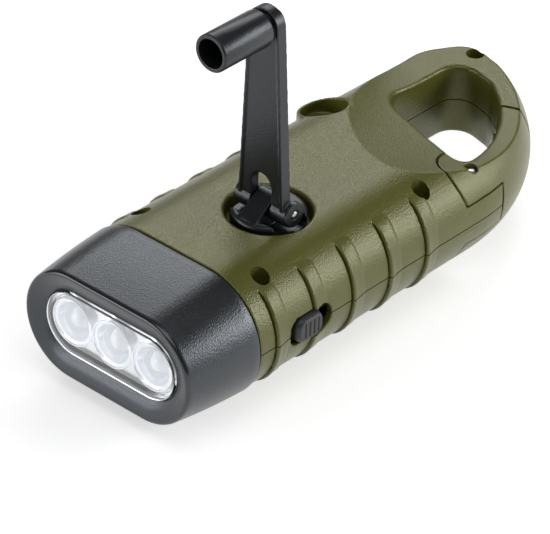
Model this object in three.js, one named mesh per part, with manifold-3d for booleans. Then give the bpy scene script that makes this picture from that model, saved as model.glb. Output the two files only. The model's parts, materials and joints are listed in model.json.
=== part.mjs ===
// Hand crank flashlight with a carabiner tail, a crank that folds out of one broad face and a solar
// cell in the other. Lengths are millimetres. Pieces are drawn from the head's front rim (x = 0)
// towards the tail, with the switch and the gate on the -Y side, the crank on top and z = 0 halfway
// through the thickness.
import * as THREE from "three";
import { mergeVertices } from "three/addons/utils/BufferGeometryUtils.js";
import Module from "manifold-3d";

const wasm = await Module();
wasm.setup();

// Body
const bodyLength = 143;
const bodyHalfWidth = 25.6;
const bodyHalfThick = 15.24;
const wall = 1.8;
const seamX = 21;
const cavityEndSetback = 57;
const overrun = 3;

// Clearances
const shellGap = 0.3;
const fitGap = 0.15;
const runningGap = 0.3;
const gateGap = 0.35;

// Tail and carabiner ring
const tailRadius = 15.5;
const tailHalfThick = 9.2;
const gateArcSetback = 47;
const dishStartSetback = 63;
const dishEndSetback = 17;
const dishTurnY = -10;
const dishSweepRadius = 20;
const dishFallPower = 2.3;
const dishStepPower = 1.4;
const ringGateBand = 7.8;
const ringSpineBand = 12.2;
const ringTailBand = 8.4;
const ringFrontSetback = 45.8;
const ringFrontRake = 9.4;
const ringFrontCorner = 2.4;
const ringSpineCorner = 8;
const ringTailCorner = 5.2;

// Ribs on both sides
const ribCount = 5;
const ribFirstX = 26.2;
const ribPitch = 12.5;
const ribLength = 4.3;
const ribSteepLength = 0.8;
const ribProud = 0.8;
const ribSpanAngle = THREE.MathUtils.degToRad(54);

// Head cap
const capFrontHalfWidth = 24.2;
const capFrontHalfThick = 13.24;
const capRearHalfWidth = 26;
const capRearHalfThick = 15.5;
const capWall = 1.5;
const capRimDepth = 1.9;
const capRimThick = 0.45;
const lensOpeningHalfWidth = 18.4;
const lensOpeningHalfThick = 7.3;
const neckWall = 1.5;

// Light
const lensThick = 0.9;
const lensLap = 3.6;
const ledCount = 3;
const ledPitch = 11.8;
const ledRadius = 2.5;
const ledFlangeRadius = 2.9;
const ledFlangeThick = 1;
const ledLength = 6;
const reflectorDepth = 5.8;
const reflectorFlangeThick = 1;
const cupRadius = 5.7;
const cupWall = 1.1;
const ledBoardThick = 1.2;
const ledBoardEdge = 0.8;

// Case screws
const frontScrewX = 29.3;
const frontScrewInset = 8;
const rearScrewX = 81.1;
const rearScrewInset = 6.4;
const tailScrewInset = 3.7;
const tailScrewSideInset = 13.1;
const screwHoleRadius = 2.3;
const screwHeadRadius = 2;
const screwHeadHeight = 1.6;
const screwSeatZ = 3;
const screwShankRadius = 1;
const screwDepth = 8;
const screwBossWall = 1.4;

// Crank hub
const hubX = 47.7;
const hubY = -3.5;
const recessRadius = 9.8;
const recessFloorZ = 11;
const recessFloorThick = 1.2;
const recessWall = 1.4;
const recessChamfer = 0.7;
const hubRadius = 8.55;
const hubTopZ = 15.8;
const hubEdge = 0.6;
const hubShaftRadius = 3;
const hubTangRadius = 1.8;
const hingeZ = 17.2;
const hingeRadius = 3;
const hingePinRadius = 0.9;
const hingeHalfLength = 7.7;
const knuckleHalfLength = 2.6;
const hubPocketFloorZ = 13.8;
const hubPocketFront = 5.5;
const hubPocketRear = 3.4;
const hubFairingFront = 4.2;
const hubFairingZ = 16.6;

// Crank arm and knob
const armLength = 46.8;
const armThick = 2.8;
const armFaceOffset = 3;
const armFootHalfWidth = 6.1;
const armFootRise = 6;
const armTopHalfWidth = 4.4;
const armWindowRise = 8.8;
const armBossRadius = 3.4;
const armBossLength = 1.5;
const knobLength = 15.2;
const knobRadius = 4.4;
const knobWall = 1;
const knobWeb = 3.2;
const spindleRadius = 1.6;
const spindleHeadRadius = 2.5;
const spindleHeadLength = 1.4;

// Knob pocket
const pocketX = 90.4;
const pocketInset = 8;
const pocketRadius = 5.5;
const pocketMouthZ = 8.5;
const pocketRimZ = 13.4;
const pocketRimTilt = THREE.MathUtils.degToRad(19);
const pocketCollar = 0.8;
const pocketBoreRadius = 4.7;
const pocketFloorZ = -4;
const pocketFloorThick = 1.2;

// Gear train
const gearModule = 0.5;
const crankTeeth = 44;
const secondWheelTeeth = 40;
const thirdWheelTeeth = 36;
const pinionTeeth = 12;
const rotorTeeth = 10;
const secondDirection = THREE.MathUtils.degToRad(20);
const thirdDirection = THREE.MathUtils.degToRad(-60);
const rotorDirection = THREE.MathUtils.degToRad(75);
const toothRootShare = 0.56;
const toothTipShare = 0.2;
const toothRiseShare = 0.85;
const toothFallShare = 1.2;
const wheelThick = 2.2;
const crankWheelZ = 5.7;
const secondWheelZ = 2.7;
const thirdWheelZ = -0.5;
const axleRadius = 0.75;
const axleBossRadius = 2;
const hubScrewHeadRadius = 2;
const hubScrewHeadHeight = 1.2;
const hubScrewDepth = 4;
const hubWasherRadius = 3;
const hubWasherThick = 0.5;
const plateThick = 1.2;
const plateHeadReach = 3.2;
const plateTailReach = 34.8;
const plateInset = 4.6;
const plateY1 = 13;
const plateCorner = 3;
const postRadius = 1.8;
const postInset = 2.6;

// Generator
const magnetRadius = 7;
const magnetLength = 6.4;
const rotorShaftRadius = 0.8;
const statorRadius = 11.6;
const statorWall = 0.7;
const statorHeight = 8.4;
const coilWall = 2.6;
const coilAirGap = 0.6;
const coilHeight = 7;

// Solar cell
const solarX0 = 27.3;
const solarX1 = 71.1;
const solarBulge = 2;
const solarHalfWidth = 16;
const solarProud = 1.2;
const solarCorner = 3;
const solarDepth = 3.5;
const solarChamfer = 0.8;
const solarBowShares = [-0.6, -0.3, 0, 0.3, 0.6];
const windowX0 = 32;
const windowX1 = 68.5;
const windowHalfWidth = 11;
const windowRecess = 1.5;
const windowCorner = 2;
const cellLap = 1.8;
const cellThick = 1.6;
const trayThick = 1.7;
const trayWall = 1.4;

// Electronics
const boardX0 = 27;
const boardX1 = 57;
const boardHalfWidth = 14;
const boardThick = 1.2;
const cellCount = 3;
const buttonRadius = 5.8;
const buttonLength = 5.4;
const buttonX = 37;
const holderWall = 1.1;
const holderRiseShare = 0.9;

// Slide switch
const slotX0 = 31.2;
const slotX1 = 44.6;
const slotHalfHeight = 3.5;
const slotCornerShare = 0.9;
const thumbX0 = 32.5;
const thumbLength = 9;
const thumbProud = 0.75;
const thumbGrooves = 5;
const thumbGrooveDepth = 0.45;
const thumbFlangeReach = 2;
const thumbFlangeThick = 0.8;
const canDepth = 5;
const canLength = 9.6;
const canHalfHeight = 3;
const leverWidth = 2;
const leverReach = 3.2;
const slideTravel = 2;

// Carabiner gate
const gatePinSetback = 45.1;
const gatePinInset = 5.6;
const gatePinRadius = 1.4;
const gatePinSink = 0.9;
const gateKnuckleRadius = 7.5;
const gateReach = 30.5;
const gateStartAngle = THREE.MathUtils.degToRad(-75);
const gateEndAngle = THREE.MathUtils.degToRad(60);
const tongueHalfHeight = 4.9;
const tongueExtra = 0.6;
const latchAngle = THREE.MathUtils.degToRad(27.3);
const latchLipLength = 2.8;
const latchLipThick = 1.5;
const latchLipRoot = 2;
const latchHalfHeight = 3;
const springRadius = 3.3;
const springWire = 0.8;
const springHalfHeight = 1.8;

// Facets
const roundSides = 20;
const smallSides = 12;
const sideSteps = 6;
const cupSteps = 5;
const tangSides = 6;
const mergeDistance = 1e-4;
const arcStep = THREE.MathUtils.degToRad(9);

// Levels and places that follow from the sizes above
const seatZ = shellGap / 2;
const sideRadius = bodyHalfThick;
const flatHalfWidth = bodyHalfWidth - sideRadius;
const gateArcStartX = bodyLength - gateArcSetback;
const dishStartX = bodyLength - dishStartSetback;
const dishEndX = bodyLength - dishEndSetback;
const ringFrontX = bodyLength - ringFrontSetback;
const cavityEndX = bodyLength - cavityEndSetback;
const frontScrewY = bodyHalfWidth - frontScrewInset;
const rearScrewY = rearScrewInset - bodyHalfWidth;
const pocketY = bodyHalfWidth - pocketInset;
const plateX0 = hubX - plateHeadReach;
const plateX1 = hubX + plateTailReach;
const plateY0 = plateInset - bodyHalfWidth;
const tailCentre = new THREE.Vector2(bodyLength - tailRadius, bodyHalfWidth - tailRadius);
const gateArcRun = tailCentre.x - gateArcStartX;
const gateArcSpan = bodyHalfWidth + tailCentre.y;
const gateArcRadius =
  (gateArcRun ** 2 + gateArcSpan ** 2 - tailRadius ** 2) / (2 * (gateArcSpan - tailRadius));
const gateArcCentre = new THREE.Vector2(gateArcStartX, gateArcRadius - bodyHalfWidth);
const gateArcEnd = Math.atan2(tailCentre.y - gateArcCentre.y, gateArcRun);
const lensX = capRimDepth + capRimThick + fitGap;
const reflectorX = lensX + lensThick + fitGap;
const ledFlangeX = reflectorX + reflectorDepth + fitGap;
const ledBoardX = ledFlangeX + ledFlangeThick + fitGap;
const neckX = ledBoardX + ledBoardThick + shellGap;
const bodyX = seamX + shellGap;
const faceZ = bodyHalfThick + solarProud;
const hubPlace = new THREE.Vector2(hubX, hubY);
const secondPlace = stepFrom(hubPlace, meshDistance(crankTeeth, pinionTeeth), secondDirection);
const thirdPlace = stepFrom(secondPlace, meshDistance(secondWheelTeeth, pinionTeeth), thirdDirection);
const rotorPlace = stepFrom(thirdPlace, meshDistance(thirdWheelTeeth, rotorTeeth), rotorDirection);
const plateTopZ = thirdWheelZ - runningGap;
const statorTopZ = plateTopZ - plateThick - fitGap;
const trayFloorZ = -faceZ + solarDepth + fitGap;
const trayTopZ = trayFloorZ + trayThick;
const boardZ = trayTopZ + shellGap;
const holderZ = boardZ + boardThick + fitGap;
const buttonZ = holderZ + holderWall + buttonRadius;
const knobFaceX = hubX - armFaceOffset - armBossLength - runningGap;
const knobZ = hingeZ + armLength;
const pocketAngle = Math.atan2(pocketY - hubY, pocketX - hubX);
const borePlace = stepFrom(hubPlace, armLength, pocketAngle);
const gatePin = new THREE.Vector2(bodyLength - gatePinSetback, gatePinInset - bodyHalfWidth);
const gearCasePosts = [
  new THREE.Vector2(plateX0 + postInset, plateY1 - postInset),
  new THREE.Vector2(plateX0 + postInset * 2, plateY0 + postInset),
  new THREE.Vector2(plateX1 - postInset, plateY1 - postInset),
  new THREE.Vector2(plateX1 - postInset, hubY - postInset * 2),
];
const screwPlaces = [
  new THREE.Vector2(frontScrewX, frontScrewY),
  new THREE.Vector2(frontScrewX, -frontScrewY),
  new THREE.Vector2(rearScrewX, rearScrewY),
  new THREE.Vector2(bodyLength - tailScrewInset, bodyHalfWidth - tailScrewSideInset),
];

// Materials
const olive = finish(0x6f6f45, 0.6, 0);
const black = finish(0x1c1c1d, 0.45, 0);
const gloss = finish(0x101011, 0.2, 0);
const chrome = finish(0xd8dade, 0.12, 1);
const steel = finish(0xa8abb0, 0.35, 1);
const brass = finish(0xb79a55, 0.35, 1);
const copper = finish(0xb06a3a, 0.4, 1);
const magnetGrey = finish(0x3c3d40, 0.5, 0.4);
const clear = finish(0xeef2f4, 0.05, 0);
const glow = finish(0xf6f8ff, 0.2, 0);
const nylon = finish(0xe9e6dc, 0.5, 0);
const boardGreen = finish(0x2e6b3f, 0.5, 0);
const cellTan = finish(0x9a7a66, 0.15, 0);

function finish(color, roughness, metalness) {
  return new THREE.MeshStandardMaterial({ color, roughness, metalness });
}

// Solids

// A closed geometry as a solid, its shared corners joined and its faces outward.
function solid(geometry) {
  geometry.deleteAttribute("normal");
  geometry.deleteAttribute("uv");
  const merged = mergeVertices(geometry, mergeDistance);
  const vertProperties = new Float32Array(merged.attributes.position.array);
  const triVerts = new Uint32Array(merged.index.array);
  const made = new wasm.Manifold(new wasm.Mesh({ numProp: 3, vertProperties, triVerts }));
  if (made.volume() >= 0) return made;
  return new wasm.Manifold(new wasm.Mesh({ numProp: 3, vertProperties, triVerts: turnedRound(triVerts) }));
}

function turnedRound(corners) {
  const out = corners.slice();
  for (let i = 0; i < out.length; i += 3) [out[i + 1], out[i + 2]] = [out[i + 2], out[i + 1]];
  return out;
}

// A mesh that shows one solid.
function piece(name, shape, material) {
  const made = shape.getMesh();
  const geometry = new THREE.BufferGeometry();
  geometry.setAttribute("position", new THREE.BufferAttribute(new Float32Array(made.vertProperties), 3));
  geometry.setIndex(new THREE.BufferAttribute(new Uint32Array(made.triVerts), 1));
  geometry.computeVertexNormals();
  const mesh = new THREE.Mesh(geometry, material);
  mesh.name = name;
  return mesh;
}

const joined = (...shapes) => shapes.flat().reduce((sum, next) => sum.add(next));
const cut = (shape, ...tools) => tools.flat().reduce((rest, tool) => rest.subtract(tool), shape);

function block(x0, x1, y0, y1, z0, z1) {
  const geometry = new THREE.BoxGeometry(x1 - x0, y1 - y0, z1 - z0);
  return solid(geometry.translate((x0 + x1) / 2, (y0 + y1) / 2, (z0 + z1) / 2));
}

// A round bar along Z at a place in plan, which may taper.
function post(place, radius, z0, z1, sides = roundSides, topRadius = radius) {
  const geometry = new THREE.CylinderGeometry(topRadius, radius, z1 - z0, sides);
  return solid(geometry.rotateX(Math.PI / 2).translate(place.x, place.y, (z0 + z1) / 2));
}

// A round bar along X.
function barX(y, z, radius, x0, x1, sides = roundSides, endRadius = radius) {
  const geometry = new THREE.CylinderGeometry(radius, endRadius, x1 - x0, sides);
  return solid(geometry.rotateZ(Math.PI / 2).translate((x0 + x1) / 2, y, z));
}

// A round bar along Y.
function barY(x, z, radius, y0, y1, sides = roundSides) {
  const geometry = new THREE.CylinderGeometry(radius, radius, y1 - y0, sides);
  return solid(geometry.translate(x, (y0 + y1) / 2, z));
}

// A flat plate with a given outline in plan.
function plate(outline, z0, z1) {
  const geometry = new THREE.ExtrudeGeometry(new THREE.Shape(outline), {
    depth: z1 - z0,
    bevelEnabled: false,
    curveSegments: 1,
  });
  return solid(geometry.translate(0, 0, z0));
}

// A plate whose outline lies in the plane across Y and Z, with its thickness along X.
function plateX(outline, x0, x1) {
  const geometry = new THREE.ExtrudeGeometry(new THREE.Shape(outline), {
    depth: x1 - x0,
    bevelEnabled: false,
    curveSegments: 1,
  });
  geometry.rotateY(Math.PI / 2).rotateX(Math.PI / 2);
  return solid(geometry.translate(x0, 0, 0));
}

// A plate whose outline lies in the plane across X and Z, with its thickness along Y.
function plateY(outline, y0, y1) {
  const geometry = new THREE.ExtrudeGeometry(new THREE.Shape(outline), {
    depth: y1 - y0,
    bevelEnabled: false,
    curveSegments: 1,
  });
  return solid(geometry.rotateX(Math.PI / 2).translate(0, y1, 0));
}

// A closed skin through rings of equal count, with flat ends whose corners are given in plane coordinates.
function loft(rings, flatten) {
  const count = rings[0].length;
  const positions = rings.flat().flatMap((p) => [p.x, p.y, p.z]);
  const index = [];
  for (let r = 0; r + 1 < rings.length; r++) index.push(...band(r * count, (r + 1) * count, count));
  const start = (rings.length - 1) * count;
  endFace(rings[0].map(flatten)).forEach(([a, b, c]) => index.push(c, b, a));
  endFace(rings.at(-1).map(flatten)).forEach((corners) => index.push(...corners.map((i) => start + i)));
  const geometry = new THREE.BufferGeometry();
  geometry.setAttribute("position", new THREE.Float32BufferAttribute(positions, 3));
  geometry.setIndex(index);
  return solid(geometry);
}

// A flat face over a ring, its triangles turned the way the ring runs.
function endFace(ring) {
  const faces = THREE.ShapeUtils.triangulateShape(ring, []);
  return THREE.ShapeUtils.isClockWise(ring) ? faces.map(([a, b, c]) => [c, b, a]) : faces;
}

function band(lower, upper, count) {
  const out = [];
  for (let i = 0; i < count; i++) {
    const next = (i + 1) % count;
    out.push(lower + i, lower + next, upper + next, lower + i, upper + next, upper + i);
  }
  return out;
}

// Outlines

function stepFrom(place, distance, angle) {
  return new THREE.Vector2(place.x + distance * Math.cos(angle), place.y + distance * Math.sin(angle));
}

function arc(centre, radius, from, to, step = arcStep) {
  const steps = Math.max(1, Math.round(Math.abs(to - from) / step));
  const angleAt = (i) => from + ((to - from) * i) / steps;
  return Array.from({ length: steps + 1 }, (_, i) => stepFrom(centre, radius, angleAt(i)));
}

// A polygon whose corners are rounded, each corner given with its radius.
function roundedOutline(corners) {
  return corners.flatMap(({ at, radius }, i) => {
    if (!radius) return [at];
    const before = corners.at(i - 1).at.clone().sub(at).normalize();
    const after = corners[(i + 1) % corners.length].at.clone().sub(at).normalize();
    const half = Math.acos(before.dot(after)) / 2;
    const middle = before.clone().add(after).normalize();
    const centre = at.clone().addScaledVector(middle, radius / Math.sin(half));
    const from = at.clone().addScaledVector(before, radius / Math.tan(half)).sub(centre).angle();
    const to = at.clone().addScaledVector(after, radius / Math.tan(half)).sub(centre).angle();
    const turn = THREE.MathUtils.euclideanModulo(to - from + Math.PI, 2 * Math.PI) - Math.PI;
    return arc(centre, radius, from, from + turn, arcStep * 2);
  });
}

function roundedBox(x0, x1, y0, y1, radius) {
  const corners = [
    [x0, y0],
    [x1, y0],
    [x1, y1],
    [x0, y1],
  ];
  return roundedOutline(corners.map(([x, y]) => ({ at: new THREE.Vector2(x, y), radius })));
}

// A long slot shape across Y and Z with round ends, at a place along X.
function stadiumRing(x, halfWidth, halfThick) {
  const flat = halfWidth - halfThick;
  const right = arc(new THREE.Vector2(flat, 0), halfThick, -Math.PI / 2, Math.PI / 2, arcStep * 2);
  const left = arc(new THREE.Vector2(-flat, 0), halfThick, Math.PI / 2, (Math.PI * 3) / 2, arcStep * 2);
  return [...right, ...left].map((p) => new THREE.Vector3(x, p.x, p.y));
}

const acrossX = (p) => new THREE.Vector2(p.y, p.z);
const acrossY = (p) => new THREE.Vector2(p.x, p.z);
const acrossZ = (p) => new THREE.Vector2(p.x, p.y);

function stadiumBar(...stations) {
  return loft(
    stations.map(([x, halfWidth, halfThick]) => stadiumRing(x, halfWidth, halfThick)),
    acrossX,
  );
}

// Body

// The body's outline in plan, inset from its widest line, from its front end round the tail.
function planOutline(startX, inset) {
  const side = bodyHalfWidth - inset;
  const gate = arc(gateArcCentre, gateArcRadius - inset, -Math.PI / 2, gateArcEnd);
  const turn = arc(tailCentre, tailRadius - inset, gateArcEnd, 0, arcStep * 1.5).slice(1);
  const tail = arc(tailCentre, tailRadius - inset, 0, Math.PI / 2, arcStep * 1.5).slice(1);
  return [new THREE.Vector2(startX, -side), ...gate, ...turn, ...tail, new THREE.Vector2(startX, side)];
}

// The body's rounded form, a wall thickness or any other skin inside its outer face.
function pillow(startX, skin) {
  const radius = sideRadius - skin;
  const rings = [];
  for (let i = -sideSteps; i <= sideSteps; i++) {
    const angle = ((Math.PI / 2) * i) / sideSteps;
    const inset = skin + radius * (1 - Math.cos(angle));
    const z = radius * Math.sin(angle);
    rings.push(planOutline(startX, inset).map((p) => new THREE.Vector3(p.x, p.y, z)));
  }
  return loft(rings, acrossZ);
}

// Where the hollow towards the tail begins, at a distance across the body.
function dishBorder(y) {
  const past = Math.max(y - dishTurnY, 0);
  return dishStartX + past ** 2 / (2 * dishSweepRadius);
}

// The hollow that thins the body towards its tail, on the upper (1) or lower (-1) face, lowered by a skin.
function dish(face, skin) {
  const reach = bodyHalfWidth + overrun;
  const rings = [];
  for (let i = -sideSteps; i <= sideSteps; i++) {
    const y = (reach * i) / sideSteps;
    rings.push(dishSection(y, skin).map((p) => new THREE.Vector3(p.x, y, face * p.y)));
  }
  return loft(rings, acrossY);
}

function dishSection(y, skin) {
  const start = dishBorder(y);
  const run = dishEndX - start;
  const fall = bodyHalfThick - tailHalfThick;
  const slope = (fall * dishFallPower) / run;
  const points = [new THREE.Vector2(start - overrun - skin, bodyHalfThick + slope * overrun - skin)];
  for (let i = 0; i <= sideSteps; i++) {
    const share = (i / sideSteps) ** dishStepPower;
    const z = tailHalfThick + fall * (1 - share) ** dishFallPower;
    points.push(new THREE.Vector2(start + run * share - skin, z - skin));
  }
  const back = bodyLength + overrun;
  const top = bodyHalfThick + overrun * 2;
  points.push(new THREE.Vector2(back, tailHalfThick - skin));
  points.push(new THREE.Vector2(back, top));
  points.push(new THREE.Vector2(start - overrun - skin, top));
  return points;
}

// The opening inside the carabiner ring.
function ringOutline() {
  const radius = gateArcRadius - ringGateBand;
  const spineY = bodyHalfWidth - ringSpineBand;
  const tailX = bodyLength - ringTailBand;
  const rim = arc(gateArcCentre, radius, gateArcEnd, -Math.PI / 2);
  const low = rim.filter((p) => p.x > ringFrontX + ringFrontCorner && p.x < tailX - ringTailCorner / 2);
  return roundedOutline([
    { at: new THREE.Vector2(ringFrontX, gateArcCentre.y - radius), radius: ringFrontCorner },
    { at: new THREE.Vector2(ringFrontX + ringFrontRake, spineY), radius: ringSpineCorner },
    { at: new THREE.Vector2(tailX, spineY), radius: ringTailCorner },
    ...low.map((at) => ({ at, radius: 0 })),
  ]);
}

const ringHole = () => plate(ringOutline(), -bodyHalfThick, bodyHalfThick);

// One rib, steep towards the head and easy towards the tail, wrapped round a side (1 or -1).
function rib(x, side) {
  const rings = [];
  for (let i = -sideSteps; i <= sideSteps; i++) {
    const turn = i / sideSteps;
    const rise = ribProud * (1 - turn ** 4);
    const section = [
      [x, -wall / 2],
      [x + ribLength, -wall / 2],
      [x + ribSteepLength, rise],
      [x + ribSteepLength / 2, rise],
    ];
    rings.push(section.map(([along, up]) => sidePoint(along, side, sideRadius + up, ribSpanAngle * turn)));
  }
  return loft(rings, (p) => new THREE.Vector2(p.x, p.y * side + Math.abs(p.z)));
}

function sidePoint(x, side, radius, angle) {
  return new THREE.Vector3(x, side * (flatHalfWidth + radius * Math.cos(angle)), radius * Math.sin(angle));
}

function ribs() {
  const all = [];
  for (let i = 0; i < ribCount; i++) {
    for (const side of [1, -1]) all.push(rib(ribFirstX + ribPitch * i, side));
  }
  return all;
}

// The collar round the knob pocket, its rim tilted to follow the shoulder.
function collar() {
  const radius = pocketRadius + pocketCollar;
  const mouth = post(new THREE.Vector2(pocketX, pocketY), radius, 0, bodyHalfThick);
  const above = new THREE.BoxGeometry(radius * 4, radius * 4, radius * 4);
  above.translate(0, 0, radius * 2).rotateX(-pocketRimTilt).translate(pocketX, pocketY, pocketRimZ);
  return joined(cut(mouth, solid(above)), post(borePlace, pocketBoreRadius + pocketCollar, 0, pocketMouthZ));
}

// The body's outer form, in one with the ring, the collar round the knob pocket and the ribs.
function outerForm() {
  const plain = cut(pillow(bodyX, 0), dish(1, 0), dish(-1, 0));
  return cut(joined(plain, halfOf(collar(), 1), ribs()), ringHole());
}

function neckForm(skin) {
  const front = capInside(neckX);
  const rear = capInside(seamX);
  const inset = fitGap + skin;
  const past = skin ? overrun : 0;
  return stadiumBar(
    [neckX - past, front.halfWidth - inset, front.halfThick - inset],
    [seamX + overrun, rear.halfWidth - inset, rear.halfThick - inset],
  );
}

function cavity() {
  const back = block(cavityEndX, bodyLength, -bodyHalfWidth, bodyHalfWidth, -bodyHalfThick, bodyHalfThick);
  return cut(pillow(bodyX - overrun / 3, wall), dish(1, wall), dish(-1, wall), back);
}

// The half of a shape above (1) or below (-1) the parting line, with half the parting gap taken off.
function halfOf(shape, face) {
  const far = bodyHalfThick * 2;
  const edges = [seatZ * face, far * face].sort((a, b) => a - b);
  return shape.intersect(block(-far, bodyLength + far, -far, far, ...edges));
}

// What stands inside the body is trimmed to the inner half of its wall.
function within(shape) {
  const skin = wall / 2;
  return shape.intersect(cut(pillow(bodyX - overrun, skin), dish(1, skin), dish(-1, skin)));
}

function gateRegion(grow) {
  const reach = arc(gatePin, gateReach + grow, gateStartAngle, gateEndAngle);
  const sector = plate([gatePin, ...reach], -bodyHalfThick, bodyHalfThick);
  const radius = gateKnuckleRadius + grow;
  return joined(sector, post(gatePin, radius, -bodyHalfThick, bodyHalfThick, roundSides * 2));
}

function tongueDisc(grow, halfHeight) {
  return post(gatePin, gateKnuckleRadius + tongueExtra + grow, -halfHeight, halfHeight, roundSides * 2);
}

// Both shells before the parting: the walls, the ring without its gate and the tongue between its lugs.
function shellForm() {
  const outer = outerForm();
  const tongue = outer.intersect(tongueDisc(0, tongueHalfHeight));
  const walls = cut(joined(outer, neckForm(0)), cavity(), neckForm(neckWall), gateRegion(gateGap));
  const bore = post(gatePin, gatePinRadius + fitGap, -bodyHalfThick, bodyHalfThick, smallSides);
  const half = springHalfHeight + fitGap;
  const springRoom = post(gatePin, springRadius + fitGap, -half, half);
  return cut(joined(walls, tongue), bore, springRoom);
}

function screwBoss(place, face) {
  const radius = face > 0 ? screwHoleRadius + screwBossWall : screwShankRadius + screwBossWall;
  const shape = post(place, radius, -bodyHalfThick, bodyHalfThick, smallSides);
  return halfOf(shape, face);
}

function screwHoles(place) {
  return [
    post(place, screwHoleRadius, screwSeatZ, bodyHalfThick + overrun, roundSides),
    post(place, screwShankRadius + fitGap, -screwDepth - fitGap, screwSeatZ + overrun / 2, smallSides),
  ];
}

function recessCup() {
  const radius = recessRadius + recessWall;
  return post(hubPlace, radius, recessFloorZ - recessFloorThick, bodyHalfThick - wall / 2);
}

function recessCut() {
  const mouth = post(
    hubPlace,
    recessRadius,
    bodyHalfThick - recessChamfer,
    bodyHalfThick + recessChamfer,
    roundSides * 2,
    recessRadius + recessChamfer * 2,
  );
  const bore = post(hubPlace, hubShaftRadius + fitGap, recessFloorZ - overrun, recessFloorZ + overrun);
  const bowl = post(hubPlace, recessRadius, recessFloorZ, bodyHalfThick, roundSides * 2);
  return [mouth, bowl, bore];
}

// Bosses that carry the gear axles, and posts that carry the gear plate.
function gearSupports() {
  const top = bodyHalfThick - wall / 2;
  const second = post(secondPlace, axleBossRadius, crankWheelZ + wheelThick + runningGap, top, smallSides);
  const third = post(thirdPlace, axleBossRadius, secondWheelZ + wheelThick + runningGap, top, smallSides);
  const legs = gearCasePosts.map((place) => post(place, postRadius, plateTopZ + fitGap, top, smallSides));
  return [second, third, ...legs];
}

function axleSockets() {
  return [secondPlace, thirdPlace].map((place) =>
    post(place, axleRadius + fitGap, plateTopZ, bodyHalfThick - wall - fitGap, smallSides),
  );
}

function pocketCup() {
  const foot = pocketFloorZ - pocketFloorThick;
  const cup = post(borePlace, pocketBoreRadius + pocketCollar, foot, pocketMouthZ);
  return cup.intersect(pillow(bodyX, wall + runningGap));
}

function pocketCut() {
  const mouth = new THREE.Vector2(pocketX, pocketY);
  return [
    post(mouth, pocketRadius, pocketMouthZ, bodyHalfThick + overrun),
    post(borePlace, pocketBoreRadius, pocketFloorZ, bodyHalfThick),
  ];
}

function switchSlot() {
  const outline = roundedOutline(
    [
      [slotX0, -slotHalfHeight],
      [slotX1, -slotHalfHeight],
      [slotX1, slotHalfHeight],
      [slotX0, slotHalfHeight],
    ].map(([x, z]) => ({ at: new THREE.Vector2(x, z), radius: slotHalfHeight * slotCornerShare })),
  );
  return plateY(outline, -bodyHalfWidth - overrun, -bodyHalfWidth + wall + overrun / 2);
}

function topShell() {
  const inside = within(joined(recessCup(), screwPlaces.map((p) => screwBoss(p, 1)), gearSupports()));
  const shell = joined(halfOf(shellForm(), 1), inside, pocketCup());
  const tools = [recessCut(), pocketCut(), axleSockets(), switchSlot(), screwPlaces.map(screwHoles)];
  return piece("top_shell", cut(shell, tools.flat(2)), olive);
}

function bottomShell() {
  const inside = within(joined(screwPlaces.map((p) => screwBoss(p, -1)), solarTray()));
  const shell = joined(halfOf(shellForm(), -1), inside);
  const cup = post(borePlace, pocketBoreRadius + pocketCollar + runningGap, pocketFloorZ * 2, bodyHalfThick);
  const tools = [solarPocket(), cup, switchSlot(), screwPlaces.map(screwHoles)];
  return piece("bottom_shell", cut(shell, tools.flat(2)), olive);
}

// Screws that join the shells, one in each deep hole.
function caseScrew(place, number) {
  const middle = screwSeatZ + screwHeadHeight / 2;
  const head = post(place, screwHeadRadius, screwSeatZ + fitGap, screwSeatZ + screwHeadHeight, smallSides);
  const shank = post(place, screwShankRadius, -screwDepth, middle, smallSides);
  const driver = post(place, screwShankRadius, middle, bodyHalfThick, smallSides / 2);
  return piece(`case_screw_${number}`, cut(joined(head, shank), driver), steel);
}

// Head

// Half sizes of the cap's hollow at a place along the head.
function capInside(x) {
  const share = x / seamX;
  return {
    halfWidth: THREE.MathUtils.lerp(capFrontHalfWidth, capRearHalfWidth, share) - capWall,
    halfThick: THREE.MathUtils.lerp(capFrontHalfThick, capRearHalfThick, share) - capWall,
  };
}

function headCap() {
  const backX = capRimDepth + capRimThick;
  const front = capInside(backX);
  const rear = capInside(seamX + overrun);
  const outside = stadiumBar(
    [0, capFrontHalfWidth, capFrontHalfThick],
    [seamX, capRearHalfWidth, capRearHalfThick],
  );
  const hollow = stadiumBar(
    [backX, front.halfWidth, front.halfThick],
    [seamX + overrun, rear.halfWidth, rear.halfThick],
  );
  const slope = (capFrontHalfWidth - lensOpeningHalfWidth - capWall / 2) / capRimDepth;
  const lip = capWall / 2;
  const rimHollow = stadiumBar(
    [-overrun, capFrontHalfWidth - lip + slope * overrun, capFrontHalfThick - lip + slope * overrun],
    [capRimDepth, lensOpeningHalfWidth, lensOpeningHalfThick],
    [backX + overrun, lensOpeningHalfWidth, lensOpeningHalfThick],
  );
  return piece("head_cap", cut(outside, hollow, rimHollow), black);
}

function lens() {
  const halfWidth = lensOpeningHalfWidth + lensLap;
  const halfThick = lensOpeningHalfThick + lensLap;
  const shape = stadiumBar([lensX, halfWidth, halfThick], [lensX + lensThick, halfWidth, halfThick]);
  return piece("lens", shape, clear);
}

const ledPlaces = () => Array.from({ length: ledCount }, (_, i) => ledPitch * (i - (ledCount - 1) / 2));

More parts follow.
